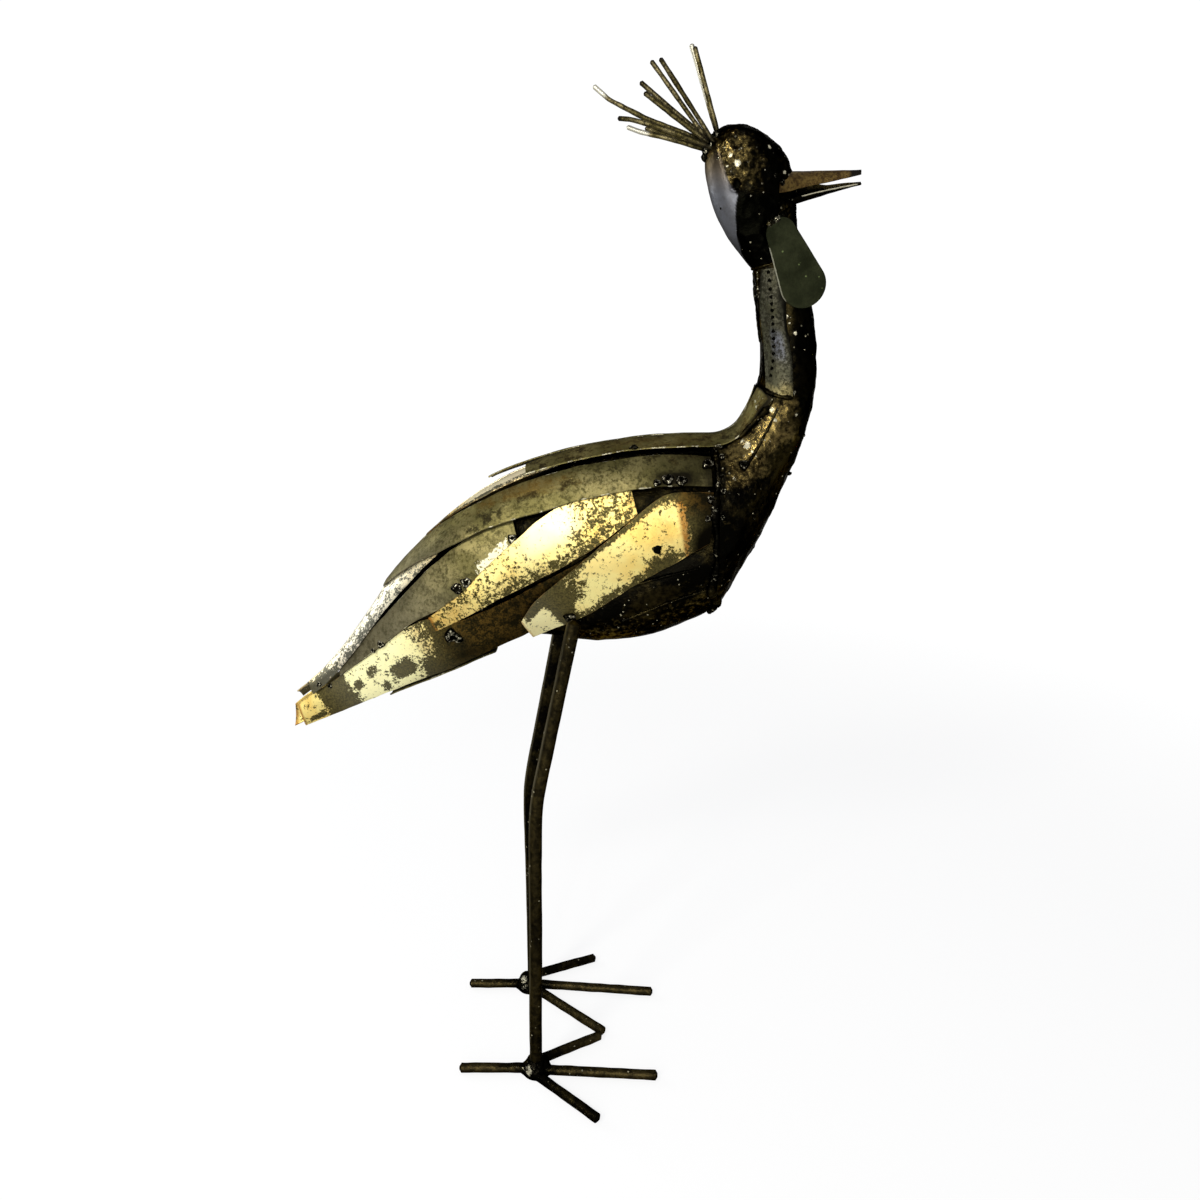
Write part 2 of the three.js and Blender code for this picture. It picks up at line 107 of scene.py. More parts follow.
class Sheet:  # the node tree of a finish or of the world
    def __init__(self, owner):
        owner.use_nodes = True
        self.tree = owner.node_tree
        self.tree.nodes.clear()

    def node(self, kind, sockets=None, output=0, **settings):
        made = self.tree.nodes.new("ShaderNode" + kind)
        for name, value in settings.items():
            setattr(made, name, value)
        for name, value in (sockets or {}).items():
            if isinstance(value, Wire):
                self.tree.links.new(value.socket, made.inputs[name])
            else:
                made.inputs[name].default_value = value
        return Wire(self, made.outputs[output]) if len(made.outputs) else made

    def maths(self, operation, first, second):
        return self.node("Math", {0: first, 1: second}, operation=operation)

    def fade(self, value, low, high):  # 0 below low, 1 above high, smooth between
        limits = {"Value": value, "From Min": low, "From Max": high}
        return self.node("MapRange", limits, interpolation_type="SMOOTHSTEP")

    def paint(self, name):  # a number kept on the mesh's points
        return self.node("Attribute", output="Fac", attribute_name=name)

    def broken(self, name, noise, weight, low, high):  # paint with an edge broken up by a noise
        return self.fade(self.paint(name) + (noise - 0.5) * weight, low, high)

    def texture(self, kind, size, output=0, **sockets):  # a pattern of a size in millimetres
        spot = self.node("TexCoord", output="Object")
        spot = self.node("Mapping", {"Vector": spot, "Scale": (1000, 1000, 1000)})
        return self.node(kind, {"Vector": spot, "Scale": 1 / size, **sockets}, output)

    def noise(self, size, detail=4, rough=0.55, bend=0.0):
        return self.texture("TexNoise", size, Detail=detail, Roughness=rough, Distortion=bend)

    def specks(self, size, edge, middle, patch, detail, low, high):
        # round grains, full within one share of their size, in the patches where a broad noise is high
        grains = self.fade(self.texture("TexVoronoi", size, "Distance"), edge, middle)
        return grains * self.fade(self.noise(patch, detail), low, high)

    def blend(self, amount, first, second):  # three numbers are a colour as read off a picture
        ends = [tone(end) if isinstance(end, tuple) and len(end) == 3 else end for end in (first, second)]
        return self.node("Mix", {0: amount, 6: ends[0], 7: ends[1]}, 2, data_type="RGBA")

    def coats(self, colour, *layers):  # amounts and colours laid on in turn; a word is a paint's name
        for amount, cover in layers:
            amount = self.paint(amount) if isinstance(amount, str) else amount
            colour = self.blend(amount, colour, cover)
        return colour


def tone(colour):  # read off a picture, and made linear
    part = np.array(colour) / 255
    light = np.where(part <= 0.04045, part / 12.92, ((part + 0.055) / 1.055) ** 2.4)
    return (*light.tolist(), 1)


def camel(node):
    first, *rest = node.split("_")
    return first + "".join(word.capitalize() for word in rest)


def newFinish(slot, paint, edge):
    # paint gives colour, roughness, metal, height and the height's depth; edge tints the glancing shine
    material = bpy.data.materials.new(camel(slot))
    sheet = Sheet(material)
    colour, rough, metal, height, depth = paint(sheet)
    bump = sheet.node("Bump", {"Height": height, "Distance": depth * mm})
    looks = {"Base Color": colour, "Roughness": rough, "Metallic": metal, "Specular Tint": edge}
    shader = sheet.node("BsdfPrincipled", {**looks, "Normal": bump})
    sheet.node("OutputMaterial", {"Surface": shader})
    return material


def addWorld():
    scene.world = bpy.data.worlds.new("studio")
    sheet = Sheet(scene.world)
    heading = sheet.node("TexCoord", output="Generated")
    upward = sheet.node("SeparateXYZ", {0: heading}, "Z")
    skyReflection = sheet.blend(sheet.fade(upward, -0.1, 0.9), studio["skyAround"], studio["skyAbove"])
    seen = sheet.node("LightPath", output="Is Camera Ray")
    glow = sheet.node("Background", {"Color": sheet.blend(seen, skyReflection, studio["white"])})
    sheet.node("OutputWorld", {"Surface": glow})


def addFloor():
    half = studio["floorHalf"]
    corners = [(-half, -half, 0), (half, -half, 0), (half, half, 0), (-half, half, 0)]
    mesh = bpy.data.meshes.new("floor")
    mesh.from_pydata(corners, [], [(0, 1, 2, 3)])
    mesh.materials.append(bpy.data.materials.new("paleFloor"))
    sheet = Sheet(mesh.materials[0])
    spot = sheet.node("TexCoord", output="Object")
    reach = sheet.node("VectorMath", {0: spot}, "Value", operation="LENGTH")
    far = sheet.fade(reach, studio["floorNear"], studio["floorFar"])
    far = far * (1 - studio["floorLit"]) + studio["floorLit"]
    seen = sheet.node("LightPath", output="Is Camera Ray")
    tones = [sheet.blend(seen, studio["floorMirrored"], studio[key]) for key in ("floorTone", "white")]
    matt, glow = sheet.node("BsdfDiffuse", {"Color": tones[0]}), sheet.node("Emission", {"Color": tones[1]})
    both = sheet.node("MixShader", {0: far, 1: matt, 2: glow})
    sheet.node("OutputMaterial", {"Surface": both})
    addObject("floor", mesh)


addCamera()
for lampName, lampValues in lamps.items():
    addLamp(lampName, lampValues)
addWorld()
addFloor()
scene.view_settings.view_transform = "Standard"

print("guide surface")
bodyMiddle = 5  # y of the body's middle plane
# ridge x, ridge z, keel x, keel z, half width, boxiness below, narrowing below: tail tip to neck top
bodyRows = np.array([
    [-193, 313, -187, 284, 9, 0.6, 0], [-171, 332, -150, 301, 15, 0.6, 0],
    [-145, 363, -112, 319, 23, 0.6, 0], [-117.6, 403.4, -72, 335, 32, 0.5, 0],
    [-80.5, 441.2, -34, 349.5, 41, 0.3, 0.1], [-38, 471.8, 2, 354, 47.5, 0, 0.3],
    [8, 490.5, 36, 352, 51, 0, 0.3], [52, 499.5, 68, 355.8, 52, 0, 0.3],
    [88, 502, 94, 366.5, 50, 0, 0.25], [111, 502.5, 114.3, 378, 46, 0, 0.2],
    [124, 508, 129.8, 404.6, 40, 0, 0.15], [131, 518, 144.8, 432.6, 33, 0, 0.1],
    [136, 530, 157.2, 463.4, 27, 0, 0.05], [139, 543, 169, 494, 22.5, 0, 0],
    [139.5, 560, 176.5, 530, 19.5, 0, 0], [137, 578, 175, 562, 18, 0, 0],
    [133.9, 594, 170.5, 588, 17, 0, 0], [130.9, 609.5, 162, 619.5, 15.5, 0, 0],
])
# the same for the head, back point and front point, neck to crown
headRows = np.array([
    [130.8, 609.9, 161.9, 619.9, 15.5, 0, 0], [123, 618, 160, 628, 16.5, 0, 0.15],
    [114, 629, 158, 636, 18.5, 0, 0.3], [105, 645, 157, 648, 20.5, 0, 0.42],
    [100, 661, 155.5, 661, 21.5, 0, 0.45], [98.5, 674, 150.5, 672, 20.5, 0, 0.38],
    [101, 683.5, 142.5, 682, 17.5, 0, 0.25], [106, 689.5, 133, 688.5, 12.5, 0, 0.1],
    [111.5, 692.8, 124, 692.6, 6, 0, 0],
])


def gridOf(firsts, seconds):
    return np.meshgrid(firsts, seconds, indexing="ij")


def circle(count):
    return np.linspace(0, 2 * np.pi, count, endpoint=False)


def mix(first, second, part):
    return first + (second - first) * part


def smooth(low, high, value):
    part = np.clip((value - low) / (high - low), 0, 1)
    return part * part * (3 - 2 * part)


def through(rows, place):
    # Catmull-Rom curve through rows of numbers at a fractional row number, straight before the first row
    rows = np.asarray(rows, float)
    last = len(rows) - 1
    place = np.asarray(place, float)
    index = np.clip(np.floor(place).astype(int), 0, last - 1)
    f = np.maximum(0, place - index)[..., None]
    beyond = np.minimum(0, place)[..., None]
    a, b, c, d = (rows[np.clip(index + step, 0, last)] for step in (-1, 0, 1, 2))
    curve = (c - a) * f + (2 * a - 5 * b + 4 * c - d) * f**2 + (3 * b - a - 3 * c + d) * f**3
    return b + 0.5 * ((c - b) * beyond + curve)


def ringPoint(rows, station, angle, standoff=0.0):
    # middle of ridge and keel, plus half their span times the cosine, and the half width times the sine
    ridgeX, ridgeZ, keelX, keelZ, halfWidth, boxy, narrow = np.moveaxis(through(rows, station), -1, 0)
    half = np.hypot(ridgeX - keelX, ridgeZ - keelZ) / 2
    cosine, sine = np.cos(np.radians(angle)), np.sin(np.radians(angle))
    low = (1 - cosine) / 2
    wide = (1 - narrow * low) * np.abs(sine) ** (1 - boxy * low) * np.sign(sine)
    reach = (half + standoff) * cosine / (2 * half)
    x = (ridgeX + keelX) / 2 + (ridgeX - keelX) * reach
    z = (ridgeZ + keelZ) / 2 + (ridgeZ - keelZ) * reach
    return np.stack([x, bodyMiddle - (halfWidth + standoff) * wide, z], -1)


def mirrored(points):
    return points * [1, -1, 1] + [0, 2 * bodyMiddle, 0]


def lottery(cells, seed):  # a fixed number from 0 to 1 for each whole-number cell
    value = np.sin(cells @ np.array([127.1, 311.7, 74.7]) + seed * 17.37) * 43758.5453
    return value - np.floor(value)


def cloud(points, size, seed):
    # value noise from -1 to 1: the numbers of a cell's eight corners, mixed by smooth weights
    spot = np.asarray(points) / size
    base = np.floor(spot)
    part = spot - base
    part = part * part * (3 - 2 * part)
    total = 0.0
    for corner in range(8):
        step = np.array([corner & 1, corner >> 1 & 1, corner >> 2 & 1])
        weight = np.prod(np.where(step, part, 1 - part), axis=-1)
        total = total + weight * lottery(base + step, seed)
    return 2 * total - 1


def hammered(points, size, seed):
    # dents from 0 to about 1: the squared distance to the nearest of scattered hammer blows
    spot = np.asarray(points) / size
    base = np.floor(spot)
    nearest = np.full(spot.shape[:-1], 9.0)
    for corner in range(27):
        cell = base + np.array([corner % 3, corner // 3 % 3, corner // 9]) - 1
        blow = cell + np.stack([lottery(cell, seed + k) for k in range(3)], -1)
        nearest = np.minimum(nearest, ((spot - blow) ** 2).sum(-1))
    return nearest


def spots(run, across, marks):
    # flat-topped patches: amount times e to minus the fourth powers of the scaled distances
    total = np.zeros(np.broadcast(run, across).shape)
    for u, v, reachU, reachV, amount in marks:
        total += amount * np.exp(-((run - u) / reachU) ** 4 - ((across - v) / reachV) ** 4)
    return total


def around(points, centre, reach):  # 1 at a point and fading to 0 over the reach, in millimetres
    return np.exp(-((points - centre) ** 2).sum(-1) / reach**2)


def unit(vectors):
    return vectors / np.linalg.norm(vectors, axis=-1, keepdims=True)


def travelled(path):  # the way run from the start to each point
    return np.concatenate([[0], np.cumsum(np.linalg.norm(np.diff(path, axis=0), axis=1))])


def fullTurn(rows, columns):  # quads between neighbouring rings, closed around
    i, j = gridOf(np.arange(rows - 1), np.arange(columns))
    near, beside = i * columns + j, i * columns + (j + 1) % columns
    return np.stack([near, beside, beside + columns, near + columns], -1).reshape(-1, 4)


def skinOver(rings, paint):
    # rings of points joined by quads, each end closed by a fan to its middle
    rows, columns = rings.shape[:2]
    points = np.concatenate([rings.reshape(-1, 3), [rings[0].mean(0), rings[-1].mean(0)]])
    j = np.arange(columns)
    k = (j + 1) % columns
    middle, last = np.full(columns, rows * columns), (rows - 1) * columns
    fans = np.concatenate([np.stack([k, j, middle], -1), np.stack([last + j, last + k, middle + 1], -1)])
    grids = {name: np.broadcast_to(values, (rows, columns)) for name, values in paint.items()}
    marks = {name: np.append(grid, [grid[0].mean(), grid[-1].mean()]) for name, grid in grids.items()}
    return outward({"points": points, "quads": fullTurn(rows, columns), "fans": fans, "paint": marks})


def plateOver(outer, inner, paint):
    # a plate between two grids: outer face, a half-round edge, inner face turned back, half-round edge
    def edge(side, inside):
        push = unit(outer[:, side] - outer[:, inside])
        thick = np.linalg.norm(outer[:, side] - inner[:, side], axis=-1, keepdims=True)
        return ((outer[:, side] + inner[:, side]) / 2 + push * thick / 3)[:, None]

    rows, columns = outer.shape[:2]
    rings = np.concatenate([outer, edge(-1, -2), inner[:, ::-1], edge(0, 1)], 1)
    total = rings.shape[1]
    j = np.arange(columns - 1)
    back = 2 * columns - j  # the inner point under outer point j
    cap = np.stack([j, j + 1, back - 1, back], -1)
    last = (rows - 1) * total
    tips = np.array([[0, 2 * columns, total - 1], [columns - 1, columns, columns + 1]])
    quads = np.concatenate([fullTurn(rows, total), cap[:, ::-1], cap + last])
    fans = np.concatenate([tips[:, ::-1], tips + last])
    order = [*range(columns), -1, *range(columns)[::-1], 0]
    marks = {name: np.broadcast_to(grid, (rows, columns))[:, order].ravel() for name, grid in paint.items()}
    return outward({"points": rings.reshape(-1, 3), "quads": quads, "fans": fans, "paint": marks})


def outward(skin):  # turns every face round if the enclosed volume comes out negative
    a, b, c, d = (skin["points"][skin["quads"][:, k]] for k in range(4))
    volume = (a * np.cross(b, c)).sum() + (a * np.cross(c, d)).sum()
    if volume < 0:
        skin.update({key: skin[key][:, ::-1] for key in ("quads", "fans")})
    return skin


def flipped(skin):  # the same skin on the other side of the middle plane
    return outward({**skin, "points": mirrored(skin["points"])})


def joined(skins):
    sizes = [len(skin["points"]) for skin in skins]
    starts = np.cumsum([0, *sizes])
    whole = {"points": np.concatenate([skin["points"] for skin in skins]), "paint": {}}
    for key in ("quads", "fans"):
        whole[key] = np.concatenate([skin[key] + start for skin, start in zip(skins, starts)])
    for name in sorted({name for skin in skins for name in skin["paint"]}):
        values = [skin["paint"].get(name, np.zeros(size)) for skin, size in zip(skins, sizes)]
        whole["paint"][name] = np.concatenate(values)
    return whole


def bothSides(skin):
    return joined([skin, flipped(skin)])


def place(name, skin, *nodes, slot="blackened_steel"):
    mesh = bpy.data.meshes.new(name)
    faces = skin["quads"].tolist() + skin["fans"].tolist()
    mesh.from_pydata((skin["points"] * mm).tolist(), [], faces)
    for key, values in skin["paint"].items():
        layer = mesh.attributes.new(key, "FLOAT", "POINT")
        layer.data.foreach_set("value", values.astype(np.float32))
    mesh.polygons.foreach_set("use_smooth", np.ones(len(faces), bool))
    mesh.set_sharp_from_angle(angle=math.radians(sharpEdge))
    mesh.materials.append(finishes[slot])
    piece = addObject(name, mesh)
    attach(piece, "root")
    if nodes:
        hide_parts(*nodes)


def placePair(node, right, left, slot):  # both are made on the right, and the left one is turned over
    for side, skin in (("right", right), ("left", flipped(left))):
        place(camel(f"{side}_{node}"), skin, f"{side}_{node}", slot=slot)


def rodAlong(path, radius, sides, seed, rough, taper, paint, inside=None):
    # circles square to the path, their radius waved by noise and drawn in over the last taper at each end
    ahead = unit(np.gradient(path, axis=0))
    helper = np.array([0.0, 1.0, 0.0] if abs(ahead[0, 1]) < 0.8 else [1.0, 0.0, 0.0])
    if inside is not None:  # a point the path runs round
        helper = path - inside
    first = unit(np.cross(ahead, helper))
    second = np.cross(ahead, first)
    turn = circle(sides)
    ring = first[:, None] * np.cos(turn)[:, None] + second[:, None] * np.sin(turn)[:, None]
    travel = travelled(path)
    left = np.minimum(travel, travel[-1] - travel) / taper
    size = radius * np.sqrt(np.clip(1 - np.clip(1 - left, 0, 1) ** 2, 0.12, 1))
    rings = path[:, None] + ring * size[:, None, None]
    rings = rings + ring * (cloud(rings, 2.2 * size.max(), seed) * rough)[..., None]
    return skinOver(rings, {name: np.reshape(values, (len(path), -1)) for name, values in paint.items()})


def evenly(corners, step, ease=0):
    # points at a steady spacing along straight runs, then averaged with their neighbours to ease the bends
    corners = np.asarray(corners, float)
    lengths = travelled(corners)
    travel = np.linspace(0, lengths[-1], max(3, int(lengths[-1] / step) + 1))
    path = np.stack([np.interp(travel, lengths, corners[:, k]) for k in range(3)], -1)
    for _ in range(ease):
        path[1:-1] = (path[:-2] + 2 * path[1:-1] + path[2:]) / 4
    return path


def weldBead(path, radius, seed, shine, lumpy, inside=None):
    # a rod whose radius swells and sinks once a pitch, with noise, as overlapping puddles of weld
    travel = travelled(path)
    wave = 0.85 + 0.2 * np.abs(np.sin(np.pi * travel / weldPitch + 0.9 * np.sin(travel * 0.7 + seed)))
    lumps = 1 + lumpy * cloud(path, 5, seed)
    # painted glints scattered along the bead
    marks = {"bright": shine * smooth(-0.3, 0.4, cloud(path, 9, seed + 3))}
    return rodAlong(path, radius * wave * lumps, 10, seed, 0.25 * radius, 1.5 * radius, marks, inside)


def weldDot(centre, above, seed, radius, height, crater=0.5, bright=0.55):
    # a round puddle: height times one minus the squared radius, less a dip at the middle, plus noise
    normal = unit(above - centre)
    first = unit(np.cross(normal, [1.0, 0.0, 0.0] if abs(normal[0]) < 0.8 else [0.0, 0.0, 1.0]))
    second = np.cross(normal, first)
    part, turn = gridOf(np.linspace(1, 0.02, 14), circle(26))
    reach = radius * part * (1 + 0.12 * np.sin(3 * turn + seed) + 0.07 * np.sin(5 * turn + 2 * seed))
    rise = height * (1 - part**2) ** 0.6 * (1 - crater * np.exp(-(part / 0.42) ** 2)) - 0.3 * height * part
    side = first * np.cos(turn)[..., None] + second * np.sin(turn)[..., None]
    points = centre + side * reach[..., None] + normal * rise[..., None]
    points = points + normal * (0.16 * height * cloud(points, radius * 0.6, seed) * (1 - part))[..., None]
    under = centre - normal * 0.6 * height + side[:1] * radius * 0.7
    # a ring of painted glint round the dip
    shine = bright * smooth(0.25, 0.45, part) * smooth(1.0, 0.8, part)
    marks = {"bright": np.vstack([shine[:1], shine]), "soot": np.vstack([0 * shine[:1], 1 - shine])}
    return skinOver(np.concatenate([under, points]), marks)


print("finishes")


def blackened(sheet):
    broad, fine = sheet.noise(26, 3), sheet.noise(3.4, 5, 0.65)
    dimples, crumbs = sheet.noise(5.5, 2, 0.5), sheet.noise(1.1, 3, 0.6)
    bare = sheet.paint("bare")
    brown = sheet.fade(broad * 0.6 + fine * 0.4, 0.46, 0.66)
    golden = sheet.blend(sheet.fade(fine * 0.6 + broad * 0.4, 0.42, 0.58), (58, 48, 24), (138, 119, 70))
    rod = sheet.blend(sheet.fade(dimples * 0.5 + fine * 0.5, 0.4, 0.6), (36, 31, 18), (66, 57, 33))
    # the bare head panel's colour is a painted reflection of the sky: warm grey, turning bluish grey where
    # cool is high
    skyReflection = sheet.blend(sheet.paint("cool"), (104, 92, 74), (112, 113, 118))
    # this paint is painted highlight: glints on welds, dents, rims and lumps
    shine = sheet.fade(sheet.paint("bright") + (fine * 0.5 + crumbs * 0.5 - 0.5) * 2.4, 0.5, 0.85)
    # light specks: partly weld spatter, partly painted glints on small dents
    spatterAndGlints = sheet.specks(5, 0.17, 0.1, 9, 2, 0.5, 0.6) * (1 - 0.9 * bare)
    colour = sheet.coats(
        # golden bronze paint, partly real patina and partly painted sheen
        (10, 9, 6), (brown, (50, 43, 22)), (sheet.broken("bronze", fine, 1.2, 0.2, 0.9), golden),
        # on the leg bars this light colour is a painted highlight streak
        ("plain", rod), ("worn", (158, 150, 126)),
        (bare, sheet.blend(sheet.fade(fine, 0.4, 0.7) * 0.4, skyReflection, (80, 78, 74))), ("soot", (5, 5, 3)),
        (shine, (190, 184, 158)), (spatterAndGlints * 0.8, (176, 168, 138)),
    )
    rough = 0.12 + 0.22 * fine + 0.24 * bare + 0.16 * sheet.paint("plain")
    height = (0.8 * fine + 1.0 * dimples + 0.35 * crumbs) * (1 - 0.8 * bare) + 1.2 * spatterAndGlints
    return colour, rough, 1 - 0.5 * sheet.maths("MAXIMUM", spatterAndGlints, shine), height, 0.55


def oliveSteel(sheet):
    broad, patchy, fine = sheet.noise(22, 3, 0.5), sheet.noise(7, 6, 0.7), sheet.noise(2.2, 6, 0.72)
    grey = sheet.blend(sheet.fade(fine * 0.5 + patchy * 0.5, 0.42, 0.62), (118, 112, 92), (88, 83, 62))
    eaten = sheet.broken("corrosion", patchy, 1.9, 0.3, 0.6)
    colour = sheet.coats(
        (96, 90, 52), (sheet.fade(broad, 0.35, 0.7), (136, 126, 82)),
        (sheet.fade(fine * 0.6 + patchy * 0.4, 0.44, 0.6) * 0.85, (52, 48, 25)), ("grey", grey),
        (sheet.broken("tint", patchy, 1.2, 0.2, 1.0) * 0.7, (132, 102, 44)), (eaten * 0.8, (40, 35, 21)),
        (sheet.broken("fleck", fine, 2.0, 0.62, 0.72), (222, 216, 180)), ("soot", (26, 23, 14)),
        # light edges: partly wear, partly painted highlight
        (sheet.broken("rim", patchy, 2.8, 1.0, 1.2) * 0.8, (206, 200, 170)),
    )
    return colour, 0.32 + 0.2 * fine + 0.15 * eaten, 0.85, fine + 0.6 * patchy - 0.8 * eaten, 0.3


def gildedSteel(sheet):
    # gold leaf is left where its painted level plus noise passes a threshold, and browns toward its edge
    broad, flake = sheet.noise(16, 2), sheet.noise(5.5, 9, 0.74, 0.4)
    crumbs, chips = sheet.noise(1.3, 4, 0.65), sheet.noise(1.7, 6, 0.72)
    pale, lemon, soot, rust = (sheet.paint(name) for name in ("pale", "lemon", "soot", "rust"))
    level = sheet.paint("gilding") + (flake - 0.5) * 2.0 + (chips - 0.5) * 1.9
    leaf = sheet.fade(level, 0.43, 0.47)
    gold = sheet.coats(
        (255, 234, 146), (sheet.fade(broad, 0.35, 0.7), (252, 216, 118)),
        (sheet.fade(level, 0.62, 0.45) * 0.4, (204, 164, 80)), (lemon, (255, 252, 184)),
        (pale, (255, 250, 232)), (sheet.broken("scorch", flake, 0.9, 0.15, 0.9), (164, 108, 38)),
    )
    rusty = sheet.blend(sheet.fade(flake * 0.7 + crumbs * 0.3, 0.44, 0.58), (24, 20, 9), (98, 74, 30))
    pits = sheet.specks(2.6, 0.16, 0.1, 9, 3, 0.5, 0.6)
    worn = sheet.broken("rim", flake, 2.6, 0.85, 1.1) * (1 - pale)
    colour = sheet.coats(
        (58, 52, 26), (sheet.fade(crumbs, 0.35, 0.65), (96, 87, 46)), (rust, rusty),
        (pale, (112, 112, 100)), (leaf, gold), (pits * 0.8, (90, 74, 36)), (soot, (14, 12, 6)),
        (worn * 0.6, (120, 88, 42)),
    )
    metal = 0.7 + 0.3 * sheet.maths("MAXIMUM", soot, rust) - 0.45 * lemon
    return colour, 0.36 - 0.02 * leaf + 0.14 * crumbs, metal, leaf + 0.4 * crumbs - pits, 0.16


def bronzedBeak(sheet):
    fine, broad = sheet.noise(2, 6, 0.7), sheet.noise(9, 3)
    colour = sheet.coats(
        (118, 96, 50), (sheet.fade(broad * 0.6 + fine * 0.4, 0.42, 0.58), (80, 60, 28)),
        (sheet.fade(fine, 0.48, 0.6) * 0.7, (58, 42, 20)), ("soot", (26, 22, 16)),
    )
    return colour, 0.34 + 0.2 * fine, 0.85, fine, 0.25


def stitchedPanel(sheet):
    fine, broad = sheet.noise(1.8, 6, 0.7), sheet.noise(10, 4)
    colour = sheet.coats(
        (66, 65, 50), (sheet.fade(broad, 0.35, 0.65), (88, 86, 72)), ("cool", (100, 102, 110)),
        (sheet.fade(fine * 0.7 + broad * 0.3, 0.44, 0.56) * 0.85, (34, 33, 24)),
        # golden paint, partly bronze patina and partly painted sheen at the panel's foot
        ("bronze", sheet.blend(sheet.fade(fine, 0.42, 0.6), (176, 160, 104), (66, 57, 30))),
        ("soot", (6, 6, 4)),
    )
    return colour, 0.3 + 0.25 * fine, 0.9, fine, 0.45


def greenWattle(sheet):
    fine, broad = sheet.noise(2.4, 6, 0.68), sheet.noise(12, 3)
    colour = sheet.coats(
        (26, 29, 16), (sheet.fade(broad, 0.35, 0.65), (40, 43, 27)),
        (sheet.fade(fine, 0.45, 0.7) * 0.5, (30, 32, 20)),
        (sheet.specks(4.2, 0.2, 0.12, 6, 2, 0.54, 0.62) * 0.7, (110, 124, 78)),
        # the rim colour is a painted edge highlight
        (sheet.broken("rim", fine, 1, 0.5, 0.9) * 0.8, (160, 158, 138)),
    )
    return colour, 0.42 + 0.15 * fine, 0.8, fine, 0.2


def burntWire(sheet):
    fine, broad = sheet.noise(2.2, 5, 0.7), sheet.noise(11, 3)
    colour = sheet.coats(
        (92, 83, 48), (sheet.fade(broad, 0.4, 0.6), (142, 130, 92)),
        (sheet.fade(fine, 0.42, 0.6) * 0.85, (34, 30, 18)), ("soot", (14, 12, 9)),
        # pale: a painted highlight on some wire tips
        ("pale", (236, 232, 214)),
    )
    return colour, 0.3 + 0.25 * fine, 0.85, fine, 0.3


darkEdge = (0.25, 0.24, 0.2, 1)  # keeps the far edges of dark metal from going white
finishes = {
    "blackened_steel": (blackened, darkEdge), "olive_steel": (oliveSteel, darkEdge),
    "gilded_steel": (gildedSteel, (0.6, 0.56, 0.45, 1)), "bronzed_beak": (bronzedBeak, (1, 1, 1, 1)),
    "stitched_panel": (stitchedPanel, darkEdge), "green_wattle": (greenWattle, darkEdge),
    "burnt_wire": (burntWire, darkEdge),
}
finishes = {slot: newFinish(slot, *values) for slot, values in finishes.items()}


def glowAt(points, rows, marks):  # paint gathered round points named by station and angle
    total = np.zeros(points.shape[:-1])
    for station, angle, reach, amount in marks:
        centre = ringPoint(rows, station, angle)
        total += amount * (around(points, centre, reach) + around(points, mirrored(centre), reach))
    return total


def ringGrid(piece):  # stations and angles over a piece
    return gridOf(np.linspace(*piece["stations"], piece["rows"]), np.arange(0, 360, piece["step"]))


print("body, breast and neck")
shell = {"stations": (1.3, 9), "rows": 190, "step": 2.25, "inset": 9.4, "bellyInset": 1.9,
         "spineInset": 4.6, "dent": 17, "dentDepth": 1.1}
# sheen marks on the shell and throat paint golden bronze: partly patina, partly painted sheen of light
shell["sheen"] = [(6.4, 150, 20, 0.3), (5.8, 168, 24, 0.35), (7.6, 142, 18, 0.3), (8.4, 132, 16, 0.3)]
throat = {"stations": (8.97, 17.02), "rows": 300, "step": 2, "dent": 12, "dentDepth": 1.8}
throat["sheen"] = [(12.7, 74, 7, 0.8), (13.4, 98, 6, 0.7), (10.3, 38, 9, 0.9), (10.5, 46, 6, 0.6),
                   (11.6, 60, 9, 0.6), (12.3, 84, 10, 0.5), (9.6, 40, 9, 0.6), (9.6, 58, 8, 0.6),
                   (10.6, 68, 8, 0.5), (9.3, 84, 7, 0.2), (11.3, 84, 9, 0.4), (12.9, 112, 7, 0.4),
                   (9.5, 140, 14, 0.3)]
# glints: painted highlights where the lamps catch the hammered breast and neck
throat["glints"] = [
    (10.52, 43, 3, 1.2), (10.24, 32, 2, 0.8), (10.81, 56, 1.6, 0.8), (10.2, 47, 1.6, 0.8),
    (9.65, 57, 2.2, 0.7), (9.39, 64, 1.8, 0.6), (13.67, 98, 1.6, 0.6), (13.5, 91, 2, 0.7),
    (13.53, 78, 1.4, 0.9), (12.59, 62, 2.6, 0.8), (13.33, 112, 1.4, 0.9), (12.53, 73, 1.8, 0.9),
    (15.48, 82, 1.4, 1.1), (15.07, 96, 1.6, 1.2), (15.9, 78, 1, 0.9), (15.29, 86, 1.2, 1),
    (11.99, 78, 1.6, 0.7), (11.64, 49, 1.6, 0.6),
]


def bodyInset(station, angle):
    # deep under the feathers, easing out to the belly inset below an edge that drops toward the tail,
    # and close under the back feathers along the spine
    turn = np.minimum(angle, 360 - angle)
    edge = 90 + 56 * np.clip((8.6 - station) / 4, 0, 1.2) ** 1.6
    bare = smooth(edge - 4, edge + 14, turn) * smooth(4.2, 5.4, station)
    spine = smooth(17, 9, turn) * smooth(5.2, 6.2, station)
    return mix(mix(shell["inset"], shell["bellyInset"], bare), shell["spineInset"], spine)


def hammeredShell():
    station, angle = ringGrid(shell)
    inset = bodyInset(station, angle)
    flat = ringPoint(bodyRows, station, angle, -inset)
    relief = -shell["dentDepth"] * (1 - hammered(flat, shell["dent"], 3)) + 0.35 * cloud(flat, 9, 4)
    points = ringPoint(bodyRows, station, angle, -inset + relief)
    return skinOver(points, {"bronze": glowAt(flat, bodyRows, shell["sheen"])})


